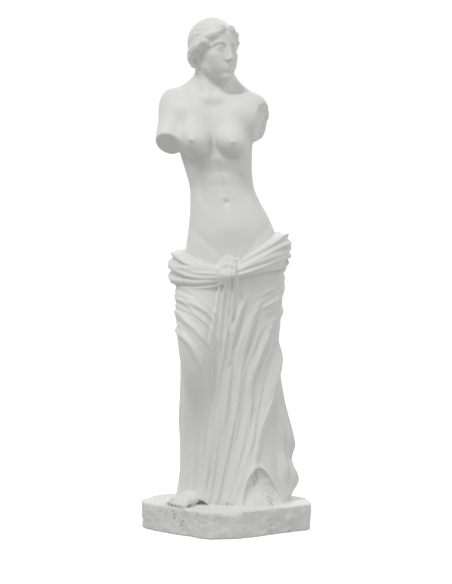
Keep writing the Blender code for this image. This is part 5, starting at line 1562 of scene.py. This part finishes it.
def painted_hollow_shade_group() -> bpy.types.NodeTree:
    """Painted shade in hollows, with faint uneven grey patches: a colour that darkens where the surface
    is enclosed and pales on outward edges.
    """
    tree, start, end = new_group(
        "painted_hollow_shade",
        (
            ("Place", VECTOR, None),
            ("Clean", COLOUR, (0.8, 0.8, 0.79, 1)),
            ("Dust", COLOUR, (0.5, 0.49, 0.46, 1)),
            ("Hollow", FLOAT, 0.0),
            ("Edge", FLOAT, 0.0),
            ("Amount", FLOAT, 0.6),
            ("Patch Size", FLOAT, 0.05),
        ),
        (("Colour", COLOUR), ("Dust Mask", FLOAT)),
    )
    link = tree.links.new
    patch = noise(tree, start, "Patch Size", 4.0, 0.62)
    uneven = math_node(tree, "ADD", math_node(tree, "MULTIPLY", patch, 0.7), 0.65)
    # Painted shade: darker where the surface is enclosed, in uneven patches
    deep = math_node(tree, "POWER", start.outputs["Hollow"], 1.3)
    shade_and_speck_grey = math_node(tree, "MULTIPLY", deep, uneven)
    shade_and_speck_grey = math_node(tree, "MULTIPLY", shade_and_speck_grey, start.outputs["Amount"])
    faint = math_node(tree, "MULTIPLY", math_node(tree, "SUBTRACT", patch, 0.5), 0.10)
    # Paler on outward edges
    paler_on_edges = math_node(tree, "MULTIPLY", start.outputs["Edge"], 0.12)
    total = math_node(tree, "SUBTRACT", math_node(tree, "ADD", shade_and_speck_grey, faint), paler_on_edges)
    clamp = node(tree, "ShaderNodeClamp")
    link(total, clamp.inputs["Value"])
    colour = mixed(tree, clamp.outputs[0], start.outputs["Clean"], start.outputs["Dust"])
    link(colour, end.inputs["Colour"])
    link(clamp.outputs[0], end.inputs["Dust Mask"])
    return tree


def broken_stone_group() -> bpy.types.NodeTree:
    """Broken stone: grey cracks and pits, as a mask and a height."""
    tree, start, end = new_group(
        "broken_stone",
        (
            ("Place", VECTOR, None),
            ("Crack Size", FLOAT, 0.026),
            ("Pit Size", FLOAT, 0.0045),
            ("Mask", FLOAT, 0.0),
        ),
        (("Crack", FLOAT), ("Height", FLOAT)),
    )
    link = tree.links.new
    bend = fill(node(tree, "ShaderNodeTexNoise"), Scale=60.0, Detail=3.0)
    link(start.outputs["Place"], bend.inputs["Vector"])
    shift = node(tree, "ShaderNodeVectorMath", operation="SCALE")
    link(bend.outputs["Color"], shift.inputs[0])
    shift.inputs["Scale"].default_value = 0.020
    place = node(tree, "ShaderNodeVectorMath", operation="ADD")
    link(start.outputs["Place"], place.inputs[0])
    link(shift.outputs[0], place.inputs[1])
    cell = node(tree, "ShaderNodeTexVoronoi", feature="DISTANCE_TO_EDGE")
    link(place.outputs[0], cell.inputs["Vector"])
    link(math_node(tree, "DIVIDE", 1.0, start.outputs["Crack Size"]), cell.inputs["Scale"])
    line = math_node(tree, "SUBTRACT", 1.0, math_node(tree, "MULTIPLY", cell.outputs[0], 22.0))
    line = math_node(tree, "MAXIMUM", line, 0.0)
    broken = fill(node(tree, "ShaderNodeTexNoise"), Scale=45.0, Detail=4.0)
    link(start.outputs["Place"], broken.inputs["Vector"])
    gate = math_node(tree, "MINIMUM", above(tree, broken.outputs[0], 0.52, 9.0), 1.0)
    pits = noise(tree, start, "Pit Size", 5.0, 0.7)
    dark = math_node(tree, "MULTIPLY", above(tree, pits, 0.60, 5.0), gate)
    crack = math_node(tree, "MAXIMUM", math_node(tree, "MULTIPLY", line, gate), dark)
    link(math_node(tree, "MULTIPLY", crack, start.outputs["Mask"]), end.inputs["Crack"])
    rise = math_node(tree, "SUBTRACT", pits, math_node(tree, "MULTIPLY", crack, 0.8))
    link(math_node(tree, "MULTIPLY", rise, start.outputs["Mask"]), end.inputs["Height"])
    return tree


@dataclass(frozen=True)
class CastFinish:
    """Matt white cast, with fine grain, shade painted into its hollows and cracks in its broken stone.
    """

    clean: tuple[float, float, float, float] = (0.78, 0.78, 0.772, 1.0)
    # The grey of the shade painted into hollows, which the real specks share
    shade_and_speck_grey: tuple[float, float, float, float] = (0.47, 0.465, 0.445, 1.0)
    crack: tuple[float, float, float, float] = (0.40, 0.39, 0.36, 1.0)
    # How strong the shade painted into hollows is
    hollow_shade_amount: float = 0.34
    crack_amount: float = 0.75
    speck_amount: float = 0.16
    roughness: float = 0.58
    # How much duller the painted shade in hollows and the broken stone are
    dull_in_hollow_shade: float = 0.25
    dull_stone: float = 0.18
    grain_height: float = 0.00010
    stone_height: float = 0.0011

    def material(self, name: str) -> bpy.types.Material:
        """Builds the material."""
        made = bpy.data.materials.new(name)
        made.use_nodes = True
        tree = made.node_tree
        link = tree.links.new
        shader = tree.nodes["Principled BSDF"]
        fill(shader, Metallic=0.0, IOR=1.46)
        place = node(tree, "ShaderNodeTexCoord").outputs["Object"]
        masks = {}
        for mask in Mask:
            stored = node(tree, "ShaderNodeAttribute", attribute_name=mask.value)
            masks[mask] = stored.outputs["Fac"]
        rough_stone = math_node(tree, "MAXIMUM", masks[Mask.ROCK], masks[Mask.BREAK])
        shade_and_speck_grey = node(tree, "ShaderNodeGroup", node_tree=painted_hollow_shade_group())
        fill(shade_and_speck_grey, Clean=self.clean, Dust=self.shade_and_speck_grey, Amount=self.hollow_shade_amount)
        link(place, shade_and_speck_grey.inputs["Place"])
        # The hollow mask darkens the colour as painted shade
        link(masks[Mask.HOLLOW], shade_and_speck_grey.inputs["Hollow"])
        link(masks[Mask.EDGE], shade_and_speck_grey.inputs["Edge"])
        grain = node(tree, "ShaderNodeGroup", node_tree=cast_grain_group())
        link(place, grain.inputs["Place"])
        stone = node(tree, "ShaderNodeGroup", node_tree=broken_stone_group())
        link(place, stone.inputs["Place"])
        link(rough_stone, stone.inputs["Mask"])
        cracks = math_node(tree, "MULTIPLY", stone.outputs["Crack"], self.crack_amount)
        specks = math_node(tree, "MULTIPLY", grain.outputs["Speck"], self.speck_amount)
        colour = mixed(tree, cracks, shade_and_speck_grey.outputs["Colour"], self.crack)
        # Real specks in the same grey as the painted shade
        link(mixed(tree, specks, colour, self.shade_and_speck_grey), shader.inputs["Base Color"])
        dull = math_node(tree, "MULTIPLY", shade_and_speck_grey.outputs["Dust Mask"], self.dull_in_hollow_shade)
        dull = math_node(tree, "ADD", dull, math_node(tree, "MULTIPLY", rough_stone, self.dull_stone))
        link(math_node(tree, "ADD", dull, self.roughness), shader.inputs["Roughness"])
        fine = fill(node(tree, "ShaderNodeBump"), Strength=0.5, Distance=self.grain_height)
        link(grain.outputs["Height"], fine.inputs["Height"])
        coarse = fill(node(tree, "ShaderNodeBump"), Strength=0.8, Distance=self.stone_height)
        link(stone.outputs["Height"], coarse.inputs["Height"])
        link(fine.outputs[0], coarse.inputs["Normal"])
        link(coarse.outputs[0], shader.inputs["Normal"])
        return made


@dataclass(frozen=True)
class FloorFinish:
    """Plain pale studio paper."""

    colour: tuple[float, float, float, float] = (0.94, 0.94, 0.94, 1.0)
    glow: float = 0.56
    roughness: float = 0.9

    def material(self, name: str) -> bpy.types.Material:
        """Builds the material."""
        made = bpy.data.materials.new(name)
        made.use_nodes = True
        shader = made.node_tree.nodes["Principled BSDF"]
        fill(shader, Base_Color=self.colour, Roughness=self.roughness, IOR=1.3)
        fill(shader, Emission_Color=self.colour, Emission_Strength=self.glow)
        return made


# The statue as a whole


@dataclass
class Statue:
    """The whole casting: the figure, her mantle, her foot and the plinth."""

    box_low: Vector
    box_high: Vector
    figure_height: float = 0.845
    figure_shift: tuple[float, float] = (0.000, 0.010)
    # How far the figure is sunk into the plinth, and how far down its form is worked out
    sunk: float = 0.002
    depth_in_plinth: float = 0.02
    rock_top: float = 0.14
    most_triangles: int = 190000
    # Distances out of the surface at which hollows are measured for the painted shade, and the share of
    # each
    hollow_steps: Rows = ((0.003, 0.30), (0.007, 0.35), (0.015, 0.35))
    edge_depth: float = 0.0035
    coarse_grid: tuple[int, int] = (700, 520)
    trunk: Trunk = field(default_factory=Trunk)
    arms: Arms = field(default_factory=Arms)
    head: Head = field(default_factory=Head)
    foot: Foot = field(default_factory=Foot)
    plinth: Plinth = field(default_factory=Plinth)
    carver: Carver = field(default_factory=Carver)
    finish: CastFinish = field(default_factory=CastFinish)

    def __post_init__(self) -> None:
        """Drapes the mantle over the trunk."""
        coarse = self.carver.cell > FINE_CELL
        self.drapery = Drapery(self.trunk, *self.coarse_grid) if coarse else Drapery(self.trunk)

    def body(self, p: Array) -> Array:
        """The trunk, arms and neck, which sway together."""
        q = self.trunk.upright(p)
        d = blend_in(self.trunk.flesh(q), only_between(q, self.arms.field, 0.60, 0.95), 0.016)
        return blend_in(d, only_between(q, self.trunk.neck, 0.72, 1.0), 0.018)

    def figure(self, p: Array) -> Array:
        """The figure in shares of its height."""
        d = only_between(p, self.body, 0.38, 1.1)
        d = blend_in(d, only_between(p, self.head.field, 0.79, 1.2), 0.010)
        d = np.minimum(d, only_between(p, self.drapery.field, -0.1, 0.66))
        return blend_in(d, only_between(p, self.foot.field, -0.1, 0.11), 0.003)

    def in_figure(self, p: Array) -> Array:
        """Points in metres as shares of the figure's height."""
        place = np.array([*self.figure_shift, self.plinth.height - self.sunk])
        return (p - place) / self.figure_height

    def above_plinth(self, p: Array) -> Array:
        """Which points are high enough for the figure to reach them."""
        return p[:, 2] > self.plinth.height - self.depth_in_plinth

    def stone(self, p: Array) -> Array:
        """The plinth and the rock under the train."""
        d = self.plinth.field(p)
        near = (p[:, 0] > 0.0) & (p[:, 1] < 0.0) & self.above_plinth(p) & (p[:, 2] < self.rock_top)
        if near.any():
            rock = self.drapery.filling(self.in_figure(p[near])) * self.figure_height
            rock = np.maximum(rock, self.plinth.sides(p[near], 0.0))
            rock = rock + 1.3 * self.plinth.roughness(p[near])
            d[near] = blend_in(d[near], rock, 0.003)
        return d

    def field(self, p: Array) -> Array:
        """The whole casting, in metres, about the plinth's own middle."""
        d = self.stone(p)
        high = self.above_plinth(p)
        if high.any():
            standing = self.figure(self.in_figure(p[high])) * self.figure_height
            d[high] = blend_in(d[high], standing, 0.0015)
        return d

    def masks(self, p: Array, normals: Array) -> dict[Mask, Array]:
        """Measures the masks that the finish reads.

        Args:
            p: the surface's points, about the plinth's own middle.
            normals: the surface's outward directions there.

        Returns:
            A value from 0 to 1 for each mask and point.
        """
        # How enclosed each point is, which the finish paints as shade
        closed = np.zeros(len(p))
        for out, share in self.hollow_steps:
            room = self.carver.values_of(self.field, p + normals * out)
            closed += share * np.clip(1 - room / out, 0, 1)
        deep = self.edge_depth
        edge = (self.carver.values_of(self.field, p - normals * deep) + deep) / deep
        edge = np.clip(edge - 0.12, 0, 1)
        rock = np.clip(1 - np.abs(self.carver.values_of(self.stone, p)) / 0.003, 0, 1)
        flat_top = (np.abs(p[:, 2] - self.plinth.height) < 0.0035) & (normals[:, 2] > 0.75)
        rock[flat_top] *= 0.12
        standing = self.carver.values_of(self.figure, self.in_figure(p)) * self.figure_height
        rock *= rising(standing, 0.0010, 0.002)
        q = self.trunk.upright(self.in_figure(p))
        snapped = np.clip(1 - np.abs(self.arms.broken_face(q)) / 0.0016, 0, 1)
        snapped[(q[:, 0] < 0.05) | (q[:, 2] < 0.72) | (q[:, 2] > 0.88)] = 0.0
        return {Mask.HOLLOW: closed, Mask.EDGE: edge, Mask.ROCK: rock, Mask.BREAK: snapped}

    def mesh(self) -> bpy.types.Object:
        """Carves the casting, thins its faces, moves it into the frame's box and stores the masks."""
        margin, beside, over = 4 * self.carver.cell, 0.012, 0.010
        wide = (self.box_high.x - self.box_low.x) / 2 + beside + margin
        deep = (self.box_high.y - self.box_low.y) / 2 + beside + margin
        low = np.array([-wide, -deep, -margin])
        high = np.array([wide, deep, self.box_high.z + over + margin])
        points, faces = self.carver.carve(self.field, low, high)
        LOG.info("carved %d faces", len(faces))
        obj = bpy.data.objects.new("carved", mesh_from("carved", points, faces))
        bpy.context.scene.collection.objects.link(obj)
        fewer = obj.modifiers.new("fewer_faces", "DECIMATE")
        fewer.ratio = min(1.0, self.most_triangles / (2 * len(faces)))
        obj = settled(obj, "cast_statue")
        points, normals = np.empty((2, len(obj.data.vertices) * 3), np.float32)
        obj.data.vertices.foreach_get("co", points)
        obj.data.vertex_normals.foreach_get("vector", normals)
        points, normals = (flat.reshape(-1, 3).astype(float) for flat in (points, normals))
        for mask, values in self.masks(points, normals).items():
            stored = obj.data.attributes.new(mask.value, "FLOAT", "POINT")
            stored.data.foreach_set("value", values.astype(np.float32))
        middle = (points.min(axis=0) + points.max(axis=0)) / 2
        wanted = (self.box_low + self.box_high) / 2
        lift = self.box_low.z - points[:, 2].min()
        shift = np.array([wanted.x - middle[0], wanted.y - middle[1], lift])
        obj.data.vertices.foreach_set("co", (points + shift).astype(np.float32).ravel())
        obj.data.update()
        return obj

    def weather(self, obj: bpy.types.Object, material: bpy.types.Material) -> bpy.types.Object:
        """Roughens the broken stone with the relief tree, and returns the plain result."""
        tree = stone_relief_tree()
        modifier = obj.modifiers.new("stone_relief", "NODES")
        modifier.node_group = tree
        wanted = {**RELIEF, "Material": material}
        for item in tree.interface.items_tree:
            if item.in_out == "INPUT" and item.name in wanted:
                modifier[item.identifier] = wanted[item.name]
        return settled(obj, "cast_statue_body")

    def dress(self, obj: bpy.types.Object) -> bpy.types.Object:
        """Gives the casting its relief and finish, and puts it in the frame."""
        obj = self.weather(obj, self.finish.material("matt_white_cast"))
        obj.data.shade_smooth()
        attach(obj, "root")
        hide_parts(NODE)
        return obj


def stone_relief_tree() -> bpy.types.NodeTree:
    """A geometry tree that lifts lumps and sinks pits in the broken stone, by its masks."""
    tree = bpy.data.node_groups.new("stone_relief", "GeometryNodeTree")
    face = tree.interface
    face.new_socket("Geometry", in_out="INPUT", socket_type="NodeSocketGeometry")
    for label, value in RELIEF.items():
        face.new_socket(label, in_out="INPUT", socket_type=FLOAT).default_value = value
    face.new_socket("Material", in_out="INPUT", socket_type="NodeSocketMaterial")
    face.new_socket("Geometry", in_out="OUTPUT", socket_type="NodeSocketGeometry")
    start, end = node(tree, "NodeGroupInput"), node(tree, "NodeGroupOutput")
    link = tree.links.new
    masks = []
    for mask in (Mask.ROCK, Mask.BREAK):
        named = node(tree, "GeometryNodeInputNamedAttribute", data_type="FLOAT")
        named.inputs["Name"].default_value = mask.value
        masks.append(named.outputs["Attribute"])
    broken = math_node(tree, "MAXIMUM", *masks)
    lump = node(tree, "ShaderNodeTexNoise", noise_dimensions="4D")
    fill(lump, Detail=3.0, Roughness=0.6)
    link(math_node(tree, "DIVIDE", 1.0, start.outputs["Lump Size"]), lump.inputs["Scale"])
    link(start.outputs["Seed"], lump.inputs["W"])
    rise = math_node(tree, "SUBTRACT", lump.outputs[0], 0.5)
    rise = math_node(tree, "MULTIPLY", rise, start.outputs["Lump Depth"])
    pit = node(tree, "ShaderNodeTexVoronoi", voronoi_dimensions="4D", feature="F1")
    link(math_node(tree, "DIVIDE", 1.0, start.outputs["Pit Size"]), pit.inputs["Scale"])
    link(start.outputs["Seed"], pit.inputs["W"])
    hole = math_node(tree, "MAXIMUM", math_node(tree, "SUBTRACT", 0.35, pit.outputs["Distance"]), 0.0)
    sink = math_node(tree, "MULTIPLY", hole, 2.0)
    sink = math_node(tree, "MULTIPLY", sink, start.outputs["Pit Depth"])
    amount = math_node(tree, "MULTIPLY", math_node(tree, "SUBTRACT", rise, sink), broken)
    normal = node(tree, "GeometryNodeInputNormal")
    offset = node(tree, "ShaderNodeVectorMath", operation="SCALE")
    link(normal.outputs[0], offset.inputs[0])
    link(amount, offset.inputs["Scale"])
    position = node(tree, "GeometryNodeInputPosition")
    height = node(tree, "ShaderNodeSeparateXYZ")
    link(position.outputs[0], height.inputs[0])
    standing = node(tree, "FunctionNodeCompare", data_type="FLOAT", operation="GREATER_THAN")
    link(height.outputs["Z"], standing.inputs[0])
    # The flat underside stays flat
    standing.inputs[1].default_value = 0.003
    move = node(tree, "GeometryNodeSetPosition")
    link(start.outputs["Geometry"], move.inputs["Geometry"])
    link(standing.outputs[0], move.inputs["Selection"])
    link(offset.outputs[0], move.inputs["Offset"])
    real = node(tree, "GeometryNodeRealizeInstances")
    link(move.outputs["Geometry"], real.inputs["Geometry"])
    paint = node(tree, "GeometryNodeSetMaterial")
    link(real.outputs["Geometry"], paint.inputs["Geometry"])
    link(start.outputs["Material"], paint.inputs["Material"])
    link(paint.outputs["Geometry"], end.inputs["Geometry"])
    return tree


# The studio


@dataclass
class Studio:
    """The pale floor, the soft lights and the camera."""

    camera_distance: float = 2.40
    camera_height: float = 0.430
    look_height: float = 0.409
    frame_height: float = 1.0137
    light_below: float = 0.33
    light_above: float = 0.54
    # The middle that the lights look at
    lit_height: float = 0.5
    # Name, place, size and power of each soft light
    lamps: Sequence[tuple] = (
        ("key_light", (-2.3, -2.9, 5.6), 2.0, 165.0),
        ("side_light", (2.6, -1.6, 1.0), 1.6, 13.0),
        ("back_light", (1.4, 3.4, 3.8), 2.0, 55.0),
    )
    # Radius and height of the backdrop, radius of its bend, and its sides and steps
    backdrop_radius: float = 7.0
    backdrop_height: float = 7.0
    bend: float = 2.0
    sectors: int = 48
    bend_steps: int = 12
    finish: FloorFinish = field(default_factory=FloorFinish)

    def floor(self) -> bpy.types.Object:
        """A large round floor that runs up into a backdrop far away on all sides."""
        flat, bend, sectors = self.backdrop_radius - self.bend, self.bend, self.sectors
        profile = [(0.5, 0.0), (flat, 0.0)]
        for i in range(1, self.bend_steps + 1):
            a = math.pi / 2 * i / self.bend_steps
            profile.append((flat + bend * math.sin(a), bend - bend * math.cos(a)))
        profile.append((self.backdrop_radius, self.backdrop_height))
        turns = [2 * math.pi * k / sectors for k in range(sectors)]
        corners = [(r * math.cos(t), r * math.sin(t), z) for r, z in profile for t in turns]
        corners.append((0.0, 0.0, 0.0))
        faces = []
        for inner in range(0, (len(profile) - 1) * sectors, sectors):
            for k in range(sectors):
                ahead = (k + 1) % sectors
                outer = inner + sectors
                faces.append((inner + k, outer + k, outer + ahead, inner + ahead))
        faces += [(len(corners) - 1, k, (k + 1) % sectors) for k in range(sectors)]
        mesh = bpy.data.meshes.new("floor")
        mesh.from_pydata(corners, [], faces)
        mesh.shade_smooth()
        mesh.materials.append(self.finish.material("studio_paper"))
        made = bpy.data.objects.new("floor", mesh)
        made.visible_diffuse = False
        made.visible_shadow = False
        bpy.context.scene.collection.objects.link(made)
        return made

    def soft_light(self, name: str, place: Sequence[float], size: float, power: float) -> None:
        """A square soft light that looks at the object's middle."""
        lamp = bpy.data.lights.new(name, "AREA")
        lamp.energy, lamp.size = power, size
        made = bpy.data.objects.new(name, lamp)
        made.location = place
        towards = Vector((0, 0, self.lit_height)) - Vector(place)
        made.rotation_euler = towards.to_track_quat("-Z", "Y").to_euler()
        bpy.context.scene.collection.objects.link(made)

    def lights(self) -> None:
        """A key light high on the left, weaker ones on the right and behind, and the surround."""
        for name, place, size, power in self.lamps:
            self.soft_light(name, place, size, power)
        self.surround()

    def surround(self) -> None:
        """A surround that is brighter overhead than below."""
        world = bpy.data.worlds.new("soft_surround")
        world.use_nodes = True
        tree = world.node_tree
        axes = node(tree, "ShaderNodeSeparateXYZ")
        tree.links.new(node(tree, "ShaderNodeTexCoord").outputs["Generated"], axes.inputs[0])
        ramp = node(tree, "ShaderNodeMapRange")
        fill(ramp, From_Min=-1.0, From_Max=1.0, To_Min=self.light_below, To_Max=self.light_above)
        tree.links.new(axes.outputs["Z"], ramp.inputs["Value"])
        tree.links.new(ramp.outputs[0], tree.nodes["Background"].inputs["Strength"])
        fill(tree.nodes["Background"], Color=(1.0, 1.0, 1.0, 1.0))
        bpy.context.scene.world = world
        bpy.context.scene.view_settings.view_transform = "Standard"

    def camera(self) -> None:
        """A camera in front, at about half the statue's height."""
        lens = bpy.data.cameras.new("camera")
        lens.lens = lens.sensor_width * self.camera_distance / self.frame_height
        made = bpy.data.objects.new("camera", lens)
        made.location = (0.0, -self.camera_distance, self.camera_height)
        towards = Vector((0.0, 0.0, self.look_height)) - made.location
        made.rotation_euler = towards.to_track_quat("-Z", "Y").to_euler()
        bpy.context.scene.collection.objects.link(made)
        bpy.context.scene.camera = made


def main() -> None:
    """Builds the statue in the frame and sets up the studio."""
    logging.basicConfig(level=logging.INFO, format="%(name)s: %(message)s")
    for obj in list(bpy.data.objects):
        bpy.data.objects.remove(obj)
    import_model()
    low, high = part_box(NODE)
    statue = Statue(low, high, carver=Carver(cell=FINE_CELL))
    made = statue.dress(statue.mesh())
    LOG.info("%s: %d faces, slot %s", made.name, len(made.data.polygons), SLOT)
    studio = Studio()
    studio.floor()
    studio.lights()
    studio.camera()
    LOG.info("studio: floor, lights and camera")


if __name__ == "__main__":
    main()
